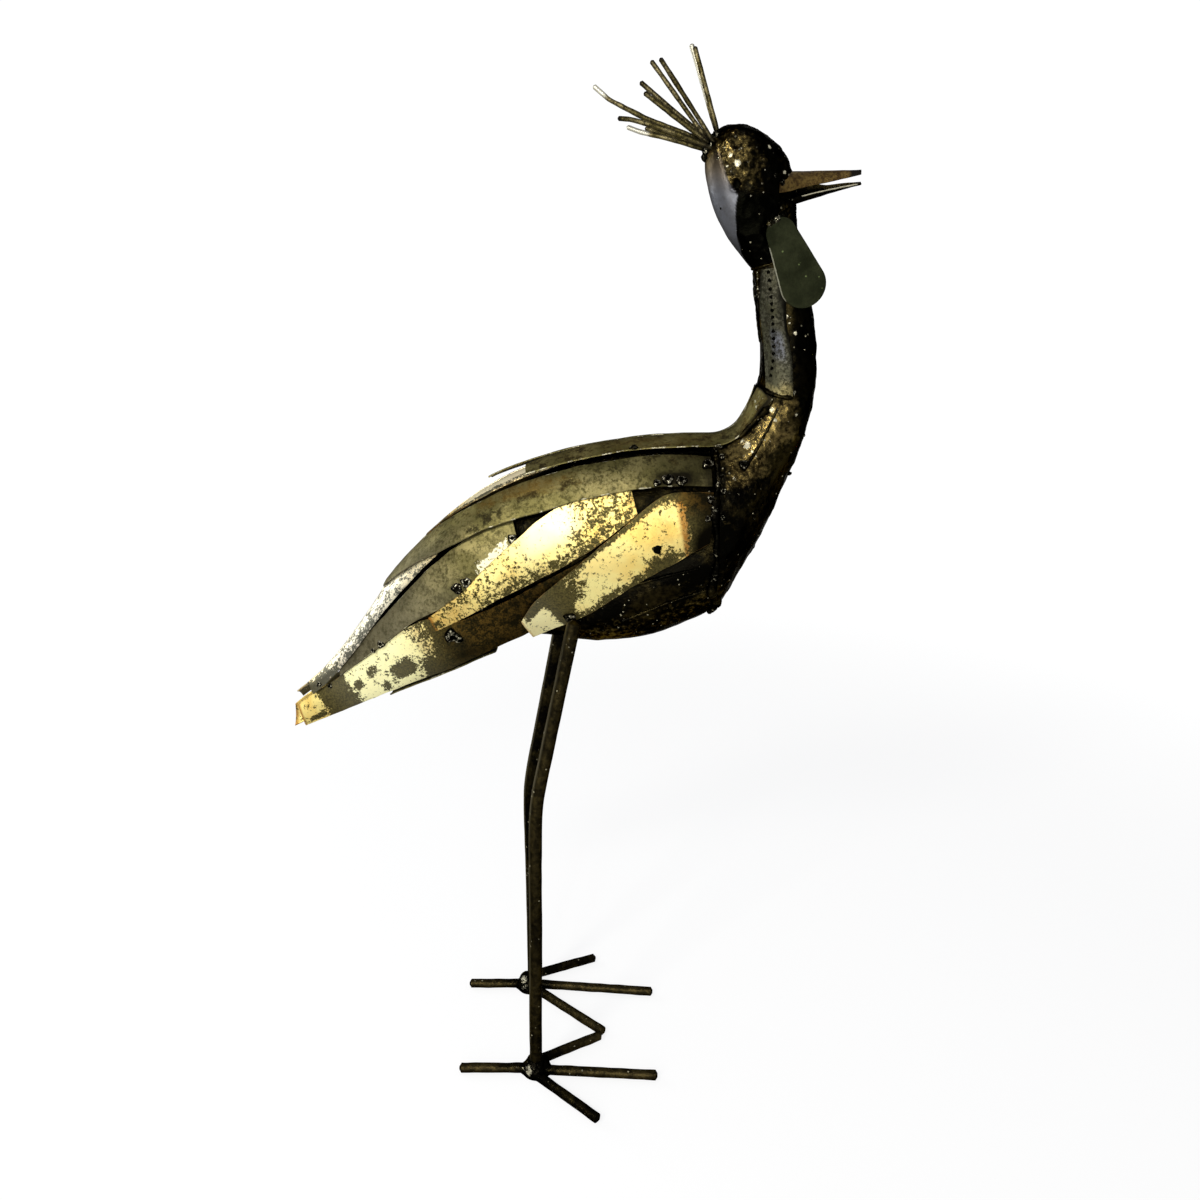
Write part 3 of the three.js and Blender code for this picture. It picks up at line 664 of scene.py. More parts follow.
def hammeredThroat():
    station, angle = ringGrid(throat)
    flat = ringPoint(bodyRows, station, angle)
    finer = 1 - 0.35 * smooth(12, 15, station)
    relief = throat["dentDepth"] * (hammered(flat, throat["dent"], 7) - 0.45) * finer
    relief += 0.45 * cloud(flat, 5, 8) + 0.2 * cloud(flat, 2.4, 9)
    relief += 0.9 * smooth(0.012, 0.002, hammered(flat, 15, 9))  # sparse spatter
    points = ringPoint(bodyRows, station, angle, relief)
    turn = np.minimum(angle, 360 - angle)
    marks = {"bronze": glowAt(flat, bodyRows, throat["sheen"])}
    marks["bright"] = glowAt(flat, bodyRows, throat["glints"])
    # the neck's front above station 13 is darkened
    marks["soot"] = 0.8 * smooth(88, 104, turn) * smooth(13, 14, station)
    return skinOver(points, marks)


place("hammeredShell", hammeredShell(), "body_shell")
place("hammeredThroat", hammeredThroat(), "breast_and_neck")

print("feathers")
thickness = 1.1
# cuts: upper station and angle, lower station and angle, depth under the outline, lower edge's own depth
# paint marks: place along and across the strip, reach along and across, amount
wide = 1e9  # a reach that takes in the whole strip
feathers = {}
feathers["back"] = dict(
    slot="olive_steel",
    cuts=[(5.45, 1.3, 5.45, 19, -2), (6.2, 1.3, 6.2, 21.5, -2), (7.2, 1.3, 7.2, 21.5, -2),
          (8.4, 1.4, 8.4, 23, -2.5), (9.5, 1.6, 9.5, 24, -2.5), (10.4, 2, 10.4, 28, -2.5),
          (11.4, 4, 11.4, 37, -2.4), (12.4, 14, 12.85, 58, -2.2)],
    leftFirst=(4.9, 1.3, 4.9, 17, -5.5, -5.5),
    tint=[(0.3, 0.6, 0.3, 0.6, 0.45), (0.85, 0.5, 0.2, 0.8, 0.4)],
    corrosion=[(0.5, 0.5, 1, 3, 0.22), (0.5, 0.8, 0.1, 0.3, 0.2), (0.15, 0.7, 0.1, 0.4, 0.2)],
    fleck=[(0.95, 0.5, 0.06, 0.4, 0.42), (0.85, 0.6, 0.06, 0.3, 0.36), (0.4, 0.5, 0.4, 3, 0.22)],
    # the first of these dark patches is a painted shadow along the lower edge at the neck end
    soot=[(1, 1, 0.3, 0.16, 0.9), (1.01, 0.5, 0.03, 3, 0.8), (0.95, 0.6, 0.08, 0.6, 0.35)],
)
feathers["rump"] = dict(
    slot="gilded_steel",
    cuts=[(3.78, 2, 3.8, 5, 0), (4.1, 2, 4.1, 6.5, 0), (4.5, 1.8, 4.5, 13, 0), (5, 1.6, 5, 17.5, 0),
          (5.9, 1.4, 5.9, 18, 0)],
    gilding=[(0, 0, wide, wide, 0.8), (0, 0.5, 0.42, 3, -0.55), (0.5, 1, 0.6, 0.3, -0.5)],
    pale=[(0.8, 0.3, 0.4, 0.8, 0.6)], soot=[(0, 1, 0.45, 0.45, 0.9)],
)
feathers["upper_wing"] = dict(
    slot="olive_steel",
    cuts=[(2.95, 3, 2.88, 13, -0.1), (3.4, 3, 3.34, 28, -0.1), (4, 9, 4, 42, 0), (4.7, 21.5, 4.6, 47, 0),
          (5.5, 25, 5.4, 51.5, 0), (6.6, 27, 6.5, 50.5, 0), (7.6, 27, 7.5, 50.5, 0),
          (8.72, 31, 8.72, 54, 0)],
    tint=[(0.5, 0.2, 0.12, 0.3, 0.5), (0.62, 0.4, 0.08, 0.3, 0.4), (0.9, 0.2, 0.1, 0.3, 0.3)],
    corrosion=[(0.57, 0.48, 0.03, 0.15, 0.32), (0.64, 0.45, 0.026, 0.15, 0.3),
               (0.44, 0.68, 0.07, 0.26, 0.26), (0.86, 0.1, 0.12, 0.15, 0.2), (0.5, 0.5, 2, 3, 0.12)],
    grey=[(0, 0.5, 0.3, 3, 0.8)],
    soot=[(1.02, 0.5, 0.17, 3, 0.6), (1, 0.5, 0.04, 3, 0.3), (0.88, 0.8, 0.05, 0.22, 0.7)],
)
feathers["middle_wing"] = dict(
    slot="gilded_steel",
    cuts=[(3.33, 84, 3.3, 98.5, 1.9), (3.95, 82, 3.85, 101, 1.9), (4.5, 73.5, 4.5, 98.5, 1.9),
          (5, 66, 5.1, 94.5, 1.9), (5.5, 56, 5.8, 85.5, 1.9), (6.2, 47, 6.4, 77, 1.9),
          (6.95, 47, 7.02, 64.5, 1.9)],
    gilding=[(0, 0, wide, wide, 0.61), (0.97, 0.4, 0.06, 0.4, -0.2), (0.6, 0.95, 0.4, 0.16, -0.2),
             (0.66, 0.26, 0.12, 0.3, 0.25), (0.1, 0.4, 0.2, 0.8, -0.1), (0.42, 0.75, 0.14, 0.3, -0.1),
             (0.8, 0.6, 0.12, 0.6, -0.12)],
    scorch=[(0.06, 0.5, 0.2, 2, 0.4), (0, 0.5, 0.02, 2, 0.4), (0.98, 0.7, 0.03, 0.5, 0.4)],
    # pale and lemon here paint the highlight on the strip's middle
    pale=[(0.66, 0.3, 0.13, 0.3, 0.4)], lemon=[(0.5, 0.5, 0.25, 3, 0.2)],
)
feathers["rear_wing"] = dict(
    slot="olive_steel",
    cuts=[(1.4, 48, 1.33, 61, 2), (2.1, 44, 2.35, 73, 2), (2.9, 49, 3.2, 79.5, 2.8),
          (3.7, 45, 3.85, 87, 3.8), (4.4, 44, 4.4, 86, 3.8), (5.12, 48, 5.1, 63, 3.8)],
    corrosion=[(0.7, 0.8, 0.06, 0.2, 0.25)], grey=[(0.1, 0.5, 0.5, 3, 0.7)],
    fleck=[(0.87, 0.74, 0.11, 0.26, 0.8)],
)
feathers["lower_wing"] = dict(
    slot="gilded_steel",
    cuts=[(0.03, 64, 0.04, 150, 2, 1), (0.6, 57, 0.6, 152, 3, 1), (1.3, 61, 1.2, 152, 3.9, 0.8),
          (2.3, 74, 2.1, 153, 4.4, 0.5), (3.2, 83, 3.1, 153, 5.6, 0.5), (3.7, 104, 3.8, 150, 5.7, 1.2),
          (4.5, 104.5, 4.5, 142, 5.7, 2.2), (5.2, 98, 5.3, 125, 5.7, 4), (6.1, 85, 6.1, 106, 5.7)],
    leftFirst=(-0.4, 64, -0.6, 150, 2, 1),
    gilding=[(0, 0, wide, wide, 0.7), (0.79, 0.5, 0.258, 3, -2.4), (0.2, 0.4, 0.058, 2, -1.1),
             (0.4, 0.57, 0.028, 0.17, -0.8), (0.285, 0.45, 0.012, 0.11, -0.6),
             (0.33, 0.32, 0.012, 0.1, -0.6), (0.345, 0.8, 0.01, 0.14, -0.5), (0.47, 0.9, 0.035, 0.3, -0.7),
             (0.09, 0.8, 0.04, 0.12, -0.5)],
    scorch=[(0, 0.5, 0.03, 2, 0.7), (0.47, 0.2, 0.02, 0.4, 0.4)], pale=[(0.33, 0.5, 0.14, 3, 0.2)],
    lemon=[(0.33, 0.5, 0.15, 3, 0.9)], rust=[(0.76, 0.5, 0.24, 3, 0.9)],
    soot=[(0.56, 0.6, 0.05, 0.3, 0.5), (0.75, 1, 0.3, 0.3, 0.5), (0.85, 0.3, 0.12, 0.5, 0.4)],
)
feathers["front_wing"] = dict(
    slot="gilded_steel",
    cuts=[(4.63, 122, 4.66, 144, 0), (5, 108.5, 5.26, 133, 0), (5.6, 95, 5.7, 124.5, 0),
          (6.37, 79, 6.4, 111.5, 0), (6.95, 67.5, 7.1, 101.5, 0), (7.55, 56.5, 7.8, 95.5, 0),
          (8.15, 56.5, 8.2, 92, 0), (8.76, 59, 8.64, 89, 0)],
    gilding=[(0, 0, wide, wide, 0.73), (1.02, 0.75, 0.185, 0.6, -1.5), (1, 0.1, 0.16, 0.4, -1.5),
             (0.53, 0, 0.24, 0.09, -0.6), (0.225, 0.5, 0.055, 2, -1), (0.52, 1, 0.24, 0.16, -0.5),
             (0.11, 0.05, 0.07, 0.2, -0.7), (0.64, 0.92, 0.06, 0.2, -0.4), (0.3, 0.35, 0.06, 0.25, -0.35),
             (0.9, 0, 0.16, 0.2, -0.9), (0.3, 0.5, 0.05, 3, -0.12)],
    scorch=[(0.45, 0.5, 0.25, 3, 0.1), (0.72, 0.5, 0.12, 3, 0.3), (0.79, 0.55, 0.035, 3, 0.45),
            (0, 0.5, 0.02, 2, 0.5)],
    pale=[(0.05, 0.5, 0.15, 3, 0.2)], lemon=[(0.05, 0.5, 0.2, 3, 0.6), (0.35, 0.5, 0.16, 3, 0.35)],
    rust=[(0.9, 0.1, 0.14, 0.3, 0.9)], soot=[(1.04, 0.6, 0.2, 3, 0.9), (0.95, 1, 0.15, 0.3, 0.4)],
)
feathers["tail"] = dict(
    slot="gilded_steel",
    cuts=[(0.55, 4, 0.6, 60, 0.2), (1.42, 3, 1.42, 51.5, 0.2), (2.15, 3, 2.15, 45.5, 0.4),
          (2.6, 3.5, 2.6, 43.5, 1.9), (3.1, 4.5, 3.1, 43, 1.9), (3.8, 7, 3.9, 40, 1.9)],
    leftFirst=(0.02, 6, 0.05, 60, 0.2, 0.2),
    gilding=[(0, 0, wide, wide, 0.52), (0.05, 0.7, 0.1, 0.5, -0.35), (0.3, 0.95, 0.3, 0.3, -0.2)],
    pale=[(0.5, 0.5, 0.5, 2, 0.85)],
)
underFeather = [(1.8, 162, 1.8, 198, -1.4), (2.5, 162, 2.5, 198, -0.8), (3.2, 162, 3.2, 198, 0),
                (3.8, 162, 3.8, 198, 0.4)]
neckPanel = [(12.85, 38, 13.5, 93, -1.9), (13.8, 24, 14.2, 86, -1.9), (14.9, 21, 15.1, 79, -1.9),
             (16, 30, 16, 84, -1.9), (16.85, 44, 16.75, 93, -1.9)]


def onStrip(cuts, run, across, out=0.0):
    # stations and angles drawn from the upper to the lower edge, at the cut's depth under the outline
    rows = through([(*cut, cut[-1])[:6] for cut in cuts], np.asarray(run) * (len(cuts) - 1))
    upper, upperAngle, lower, lowerAngle, depth, lowerDepth = np.moveaxis(rows, -1, 0)
    standoff = out - mix(depth, lowerDepth, across)
    return ringPoint(bodyRows, mix(upper, lower, across), mix(upperAngle, lowerAngle, across), standoff)


def bentStrip(cuts, seed, marks, rows=170, columns=26, beaten=1.0):
    # a hand-cut strip: edges waved by noise, face dented by the hammer, plate of even thickness
    across = 0.5 - 0.5 * np.cos(np.linspace(0, np.pi, columns))
    run, across = gridOf(np.linspace(0, 1, rows), across)
    flat = onStrip(cuts, run, across)
    across = across + 0.014 * cloud(flat * [1, 0, 1], 9, seed) * (2 * across - 1)
    relief = beaten * (0.35 * cloud(flat, 24, seed) + 0.14 * cloud(flat, 8, seed + 1)
                       - 0.3 * (1 - hammered(flat, 13, seed + 2)))
    outer, inner = (onStrip(cuts, run, across, relief - below) for below in (0, thickness))
    width = np.linalg.norm(outer[:, -1] - outer[:, 0], axis=-1)[:, None]
    inward = np.minimum(across, 1 - across) * width
    paint = {name: spots(run, across, patches) for name, patches in marks.items()}
    # nearness to the edge: for edge wear, and on olive strips also a painted edge highlight
    paint["rim"] = np.exp(-np.clip(inward, 0, None) / 0.7)
    return plateOver(outer, inner, paint)


for number, (name, feather) in enumerate(feathers.items()):
    cuts, seed = feather["cuts"], 20 + 5 * number
    leftCuts = [feather.get("leftFirst", cuts[0]), *cuts[1:]]
    marks = {key: rows for key, rows in feather.items() if key not in ("slot", "cuts", "leftFirst")}
    skins = bentStrip(cuts, seed, marks), bentStrip(leftCuts, seed + 50, marks)
    placePair(name + "_feather", *skins, feather["slot"])
place("underFeather", bentStrip(underFeather, 77, {}, 60, 24), "under_feather", slot="olive_steel")

print("neck panels")
panelMarks = {
    "soot": [(0.9, 1, 0.4, 0.3, 0.95), (0.35, 1, 0.3, 0.08, 0.8), (1, 0, 0.3, 0.1, 0.7)],
    "cool": [(0.36, 0.62, 0.1, 0.22, 0.9)],
    # partly bronze patina, partly painted sheen
    "bronze": [(0, 0.95, 0.11, 0.35, 0.55), (0, 0.3, 0.06, 0.4, 0.3)],
}
panel = bentStrip(neckPanel, 81, panelMarks, 110, 30, 0.8)
placePair("neck_panel", panel, panel, "stitched_panel")

print("head")
head = {"stations": (0, 8), "rows": 200, "step": 2, "dent": 7, "dentDepth": 2.0, "eye": (3.8, 63),
        "eyeReach": (2.5, 3.2), "eyeDepth": 1.6}
head["panelEdge"] = [(0, 6), (0.6, 10), (1.12, 20), (2.38, 47), (3.38, 63), (4.05, 52), (5.48, 41),
                     (6.3, 26), (8, 20)]
# sheen marks on the head: partly bronze patina, partly painted sheen
head["sheen"] = [(4.9, 70, 8, 0.32), (5.5, 85, 8, 0.25), (4.2, 88, 8, 0.3), (4.9, 108, 7, 0.28),
                 (6, 58, 8, 0.32), (3.85, 60, 5, 0.6), (6.4, 90, 6, 0.2), (5.6, 30, 9, 0.4),
                 (2.73, 135, 4, 0.6), (2.51, 118, 4, 0.55)]
head["swept"] = [(2.62, 128, 5, 1)]
# glints: painted highlights where the lamps catch the hammered head
head["glints"] = [(4.69, 70, 2.2, 1.4), (5.09, 62, 2, 0.8), (4.55, 54, 1.2, 0.8), (4.77, 84, 1.2, 0.8),
                  (5.47, 78, 1.2, 0.8), (5.47, 51, 1, 0.7), (4.43, 106, 1, 0.9), (5.67, 127, 1.2, 1.1),
                  (4.39, 138, 1.2, 1.1), (4.27, 148, 1.4, 1.1), (4.01, 130, 1.2, 1),
                  (5.59, 102, 1, 0.8), (3.49, 98, 1, 0.7), (3.35, 80, 1, 0.7), (6.2, 70, 1.2, 0.7),
                  (2.51, 118, 1.2, 0.7)]


def hammeredHead():
    station, angle = ringGrid(head)
    turn = np.minimum(angle, 360 - angle)
    flat = ringPoint(headRows, station, angle)
    edges = np.array(head["panelEdge"])
    edge = np.interp(station, edges[:, 0], edges[:, 1])
    bare = smooth(edge + 1.2, edge - 1.2, turn)
    dents = head["dentDepth"] * (hammered(flat, head["dent"], 31) - 0.45) * (1 - 0.85 * bare)
    relief = dents + 0.3 * cloud(flat, 2.4, 32) * (1 - 0.9 * bare) + 0.3 * bare
    relief += 0.15 * np.exp(-((turn - edge) / 2.5) ** 2) * smooth(660, 650, flat[..., 2])
    eye = ringPoint(headRows, *head["eye"])
    low = np.minimum(eyeReach(flat, eye), eyeReach(flat, mirrored(eye)))
    relief += 0.55 * np.exp(-((low - 1.25) / 0.22) ** 2) - head["eyeDepth"] * smooth(1.1, 0.75, low)
    points = ringPoint(headRows, station, angle, relief)
    height = flat[..., 2]
    # on the head: painted shade in the eye's hollow; besides, darker toward the panel's lower end, below
    # about z 650 off the panel except a swept patch, and near the beak's root
    soot = np.maximum(smooth(1.1, 0.9, low), 0.6 * smooth(634, 614, height) * bare)
    swept = glowAt(flat, headRows, head["swept"])
    soot = np.maximum(soot, (1 - bare) * smooth(657, 650, height) * (1 - swept))
    soot = np.maximum(soot, 0.5 * smooth(132, 142, flat[..., 0]) * smooth(646, 652, height))
    # bare marks the smooth panel, whose colour is a painted sky reflection; cool grows toward its lower
    # part to turn that reflection bluish
    marks = {"bare": bare * smooth(682, 662, height), "soot": soot, "cool": smooth(672, 650, height)}
    marks["bronze"] = glowAt(flat, headRows, head["sheen"])
    marks["bright"] = glowAt(flat, headRows, head["glints"])
    return skinOver(points, marks)


def eyeReach(points, centre):  # distance from the eye's centre over its half width and half height
    along = np.hypot(points[..., 0] - centre[0], points[..., 1] - centre[1]) / head["eyeReach"][0]
    return np.hypot(along, (points[..., 2] - centre[2]) / head["eyeReach"][1])


place("hammeredHead", hammeredHead(), "head")

print("beak")
# x, mouth edge z, outer edge z and half width
upperBeak = [(143.5, 653.6, 667, 12.4), (150, 654.8, 667, 9.2), (160, 657.4, 667.1, 6.2),
             (180, 661.5, 667.5, 3.4), (195.8, 664.9, 667.8, 1.2)]
lowerBeak = [(145, 653, 644.6, 8.6), (160, 656.6, 649, 5.8), (172, 658.7, 652.5, 4.2),
             (184, 660.2, 656, 2.6), (196.4, 661, 659, 1.1)]


def beakHalf(rows, seed, far=0.0, near=0.0):
    # sheet folded to a half round: cosine across, sine from the mouth edge out; the far edge stands
    # past the mouth line by some millimetres at the root, the near edge is cut back by a share
    run, turn = gridOf(np.linspace(0, 1, 70), np.linspace(0, np.pi, 22))
    x, mouth, outer, halfWidth = np.moveaxis(through(rows, run * (len(rows) - 1)), -1, 0)
    mouth = mouth + far * smooth(177, 169, x) * np.cos(turn / 2)
    mouth = mix(mouth, outer, near * turn / np.pi)
    rise = mix(mouth, outer, np.sin(turn) ** 0.85)
    points = np.stack([x, bodyMiddle + halfWidth * np.cos(turn), rise], -1)
    points += 0.12 * cloud(points, 4, seed)[..., None] * [0, 1, 1]
    hollow = points[:, ::-1] * [1, 0.8, 1] + [0, 0.2 * bodyMiddle, 0]
    hollow[..., 2] = mix(hollow[..., 2], mouth[:, ::-1], 0.3)
    rings = np.concatenate([points, hollow], 1)
    soot = smooth(187, 190, x) if near == 0 else np.zeros_like(x)
    # a painted highlight along the lower beak's near mouth edge
    rim = 2.2 * np.exp(-((np.pi - turn) * halfWidth / 0.9) ** 2)
    rim = rim * smooth(157, 160, x) * smooth(196, 190, x) * (near > 0)
    marks = {"soot": np.concatenate([soot, soot], 1), "bright": np.concatenate([rim, 0 * rim], 1)}
    return skinOver(rings, marks)


place("upperBeakFold", beakHalf(upperBeak, 41), "upper_beak", slot="bronzed_beak")
# the lower beak takes the near-black finish; its darkness is partly painted shade on the underside
place("lowerBeakFold", beakHalf(lowerBeak, 42, 1.4, 0.5), "lower_beak")

print("wattles")
wattle = {"top": (144.8, 630.4), "topRadius": 9, "foot": (160.2, 600.1), "footRadius": 14.1,
          "thick": 1.2, "sideways": 17.8, "lean": 0.035}


def wattlePlate(seed):
    # width along the tongue: a circle, the common tangents, a larger circle
    top, foot = np.array(wattle["top"]), np.array(wattle["foot"])
    length = np.linalg.norm(foot - top)
    down = (foot - top) / length
    sideways = np.array([-down[1], down[0]])
    small, large = wattle["topRadius"], wattle["footRadius"]
    tilt = (large - small) / length
    start, stop = -small * tilt, length - large * tilt
    ease = 0.5 - 0.5 * np.cos(np.linspace(0, np.pi, 90))
    along = mix(-small, length + large, ease)
    half = np.sqrt(np.clip(small**2 - along**2, 0, None))
    straight = (small + (along - start) * (large - small) / (stop - start)) * math.sqrt(1 - tilt**2)
    half = np.where(along > start, straight, half)
    half = np.where(along > stop, np.sqrt(np.clip(large**2 - (along - length) ** 2, 0, None)), half)
    half = np.maximum(half, 0.25)
    run, across = gridOf(along, np.sin(np.linspace(-np.pi / 2, np.pi / 2, 30)))
    flat = top + run[..., None] * down + (across * half[:, None])[..., None] * sideways
    dome = 0.7 * cloud(np.stack([flat[..., 0], run, flat[..., 1]], -1), 16, seed)
    y = bodyMiddle - wattle["sideways"] + wattle["lean"] * (flat[..., 1] - top[1]) - 0.35 - dome
    outer = np.stack([flat[..., 0], y - wattle["thick"], flat[..., 1]], -1)
    inner = np.stack([flat[..., 0], y, flat[..., 1]], -1)
    # a painted highlight along the wattle's one lit edge
    rim = np.exp(-(1 - np.abs(across)) * half[:, None] / 0.6) * smooth(0.2, -0.2, across)
    rim = rim * smooth(0, 8, run) * smooth(42, 36, run)
    return plateOver(outer, inner, {"rim": rim})


place("rightWattlePlate", wattlePlate(51), "right_wattle", slot="green_wattle")
place("leftWattlePlate", flipped(wattlePlate(52)), "left_wattle", slot="green_wattle")
wattleJoint = [(135.5, -13.8, 634.5), (143.5, -12.6, 638.4), (148.4, -9.5, 641.5), (151.5, -5, 645.5)]
place("wattleBeads", bothSides(weldBead(evenly(wattleJoint, 0.6, 6), 2.3, 54, 0.6, 0.7)))

print("crest")
wireRadius = 1.48
# root and tip sideways places, then x and z from root to tip
crestWires = [
    (-2.2, -2.6, [(106.1, 686), (89.6, 735)]), (2.2, 3.4, [(106, 686.5), (88, 737.5)]),
    (-6.6, -9, [(103.2, 681.6), (68.6, 727.6)]), (-0.2, 1.2, [(102.4, 680.6), (63.8, 728.2)]),
    (5.8, 9, [(103.7, 682.4), (57.6, 718)]), (-3.4, -6, [(102, 681), (59.5, 709.8)]),
    (3.2, 2.8, [(102.1, 681.9), (85.6, 688.8), (60.7, 697.2), (38.5, 707.4), (29, 715)]),
    (-6.4, -8, [(102.9, 678.7), (81.8, 686.6), (66.4, 691.3), (51.2, 695), (43.6, 695.4)]),
    (0, 0.4, [(102.7, 678.1), (76.2, 685.3), (57.6, 689.1), (49.3, 691.9)]),
    (6, 8, [(104.1, 678.8), (82.9, 685.8), (70.4, 689.2), (61, 692.3)]),
]
highlightedTips = {1: 0.35, 6: 0.86, 8: 0.72}  # wires whose tips are painted pale as a highlight, from this share of the run on
darkened = {0: 0.1, 2: 0.45, 3: 0.3, 4: 0.5, 5: 0.1}
for number, (rootY, tipY, run) in enumerate(crestWires):
    sideways = bodyMiddle + np.linspace(rootY, tipY, len(run))
    path = evenly([(x, y, z) for (x, z), y in zip(run, sideways)], 0.8, 6)
    path = path + 0.2 * cloud(path, 17, 60 + number)[:, None] * [0.6, 1, 0.6]
    run = np.linspace(0, 1, len(path))
    ends = np.maximum(smooth(0.3, 0.05, run), smooth(0.93, 0.99, run) * (number not in highlightedTips))
    paint = {"soot": np.maximum(0.9 * ends, darkened.get(number, 0))}
    paint["pale"] = smooth(0, 0.05, run - highlightedTips.get(number, 2)) * (0.6 if number == 1 else 0.9)
    size = wireRadius * (1 + 0.1 * cloud(path, 7, 70 + number))
    node = f"crest_wire_{number + 1:02d}"
    place(camel(node), rodAlong(path, size, 12, 80 + number, 0.12, 0.9, paint), node, slot="burnt_wire")

print("legs and feet")
legRadius, toeRadius, toeStart = 5, 3.8, 6
barSides = 28
highlightStreak = np.exp(-((circle(barSides) - 0.42) / 0.24) ** 2)  # a painted highlight along the lamp side of a bar
lump = {"radius": 10.4, "height": 12.6, "web": 2.6, "middle": 5, "seed": 95}
# bar: from the lump over the knee to the body; toes: bearing in degrees, reach, and shift to the bar's left
feet = {
    "right": {"hub": (-18.4, -42.2), "bar": [(-18.4, -42.2, 9), (-14.5, -32, 237.5), (15.6, -29.6, 381.6)],
              "toes": {"front": (-3.6, 97.5, -2.4), "outer": (-40.3, 71, -5.6), "inner": (27.7, 62, 5.6),
                       "back": (180, 61.4, 1)}},
    "left": {"hub": (-29.9, 53.2), "bar": [(-26.7, 53.2, 9), (-24.6, 42, 212), (8.4, 39.5, 381.8)],
             "toes": {"front": (-5.5, 110, -0.4), "outer": (22.3, 67, 9), "inner": (-40.3, 88.5, -1.7),
                      "back": (180, 54, 0.5)}},
}


def footLump(hub, toes):
    # a dome of weld with a low web along each toe, and noise away from its middle
    turn, part = gridOf(circle(96), np.linspace(0, 1, 34))
    lift = lump["height"] * np.sin(part * np.pi / 2) ** 0.8
    reach = lump["radius"] * np.cos(part * np.pi / 2) ** 0.55
    for bearing, _, offset in toes.values():
        away = (turn - math.radians(bearing) - offset / 14 + np.pi) % (2 * np.pi) - np.pi
        reach = reach + lump["web"] * np.exp(-(away / 0.3) ** 2) * smooth(0.7, 0.1, part)
    points = np.stack([hub[0] + reach * np.cos(turn), hub[1] + reach * np.sin(turn), lift], -1)
    rough = 1.3 * cloud(points, 5, lump["seed"]) + 0.5 * cloud(points, 2, lump["seed"] + 1)
    points = points + unit(points - [*hub, lump["middle"]]) * (rough * smooth(0, 0.15, part))[..., None]
    points[..., 2] = np.maximum(points[..., 2], 0)
    rings = np.swapaxes(points, 0, 1)[:-1]
    # painted highlights on the lump's side toward the lamps, at minus x
    lit = smooth(4, -6, rings[..., 0] - hub[0])
    lit = lit * smooth(-0.3, 0.5, cloud(rings, 5, lump["seed"] + 2)) * smooth(1, 4, rings[..., 2])
    return skinOver(rings, {"bright": 0.8 * lit})


for side, foot in feet.items():
    hub, toes = foot["hub"], foot["toes"]
    path = evenly(foot["bar"], 2.2, 60)
    path = path + 0.35 * cloud(path, 60, 91)[:, None] * [1, 1, 0]
    paint = {"plain": (0.6 + 0.3 * cloud(path, 30, 93)) * (side == "right")}
    # painted highlight along one side of the leg bar
    paint["worn"] = (0.75 + 0.3 * cloud(path, 40, 94))[:, None] * highlightStreak
    place(side + "LegBar", rodAlong(path, legRadius, barSides, 92, 0.12, 1.0, paint), side + "_leg")
    place(side + "FootLump", footLump(hub, toes), side + "_foot_weld")
    for toe, (bearing, reach, offset) in toes.items():
        turn = math.radians(bearing)
        heading = np.array([math.cos(turn), math.sin(turn), 0])
        start = np.array([*hub, toeRadius]) + offset * np.array([-heading[1], heading[0], 0])
        path = evenly([start + heading * toeStart, start + heading * reach], 1.6)
        plain = (0.9 + 0.3 * cloud(path, 20, 98)) * smooth(8, 40, np.linalg.norm(path - start, axis=1))
        paint = {"plain": plain * (0.2 if toe == "outer" else 1)}
        skin = rodAlong(path, toeRadius, 24, 97, 0.25, 0.7, paint)
        skin["points"][:, 2] = np.maximum(skin["points"][:, 2], 0)
        place(f"{side}{toe.capitalize()}ToeBar", skin, f"{side}_{toe}_toe")

print("welds")
# path by station and angle, out over the outline, and the path's own noise as wander
plainSeam = dict(rows=bodyRows, out=0, wander=0, shine=0.5, lumpy=0.35)
seams = {}
seams["shoulder"] = dict(path=[(8.9, a) for a in range(6, 181, 6)], radius=2.3, out=-0.8, wander=3.2,
    shine=0.4, lumpy=0.7)
seams["panelFoot"] = dict(path=[(12.75, 34), (12.85, 45), (13.05, 60), (13.3, 78), (13.5, 94)], radius=1.3,
    out=1.3, wander=1.2, shine=0.3, lumpy=0.7)
seams["neckTop"] = dict(path=[(16.98, a) for a in range(0, 181, 10)], radius=1.0, shine=0.1)
seams["neckBack"] = dict(path=[(16.8, 30), (16.2, 25), (15.6, 22), (14.9, 20), (14.2, 21)], radius=0.8,
    out=1.2, wander=0.8, shine=0.45, lumpy=0.6)
seams["breastSide"] = dict(path=[(12.89, 72), (12, 66.5), (11.09, 61), (10.19, 59.5)], radius=1.1, out=0.2)
seams["bellyUpper"] = dict(path=[(6.0, 110), (6.95, 105), (7.7, 104), (8.35, 105)], radius=1.0, out=-2.6,
    wander=1.2, shine=0.15)
seams["bellyLower"] = dict(path=[(6.45, 133), (7.55, 124), (8.3, 124), (8.9, 126)], radius=1.0, out=-2.4,
    wander=1.2, shine=0.15)
seams["crown"] = dict(
    path=[(6.3, 0), (6.9, 0), (7.5, 0), (8, 0), (8, 180), (7.5, 180), (6.7, 180), (5.8, 180), (5, 180)],
    radius=0.8, rows=headRows, shine=0.3)
seams["cheek"] = dict(path=[(3.3, 68), (3.5, 80), (3.58, 96), (3.3, 120), (3.18, 150)], radius=0.6,
    rows=headRows, out=0.1)
# a dark weld bead under the back feather's neck end, which also stands for the shadow in the gap there
neckEdge = {"run": (0.66, 0.99), "across": 1.03, "out": -1.4, "radius": 1.7}


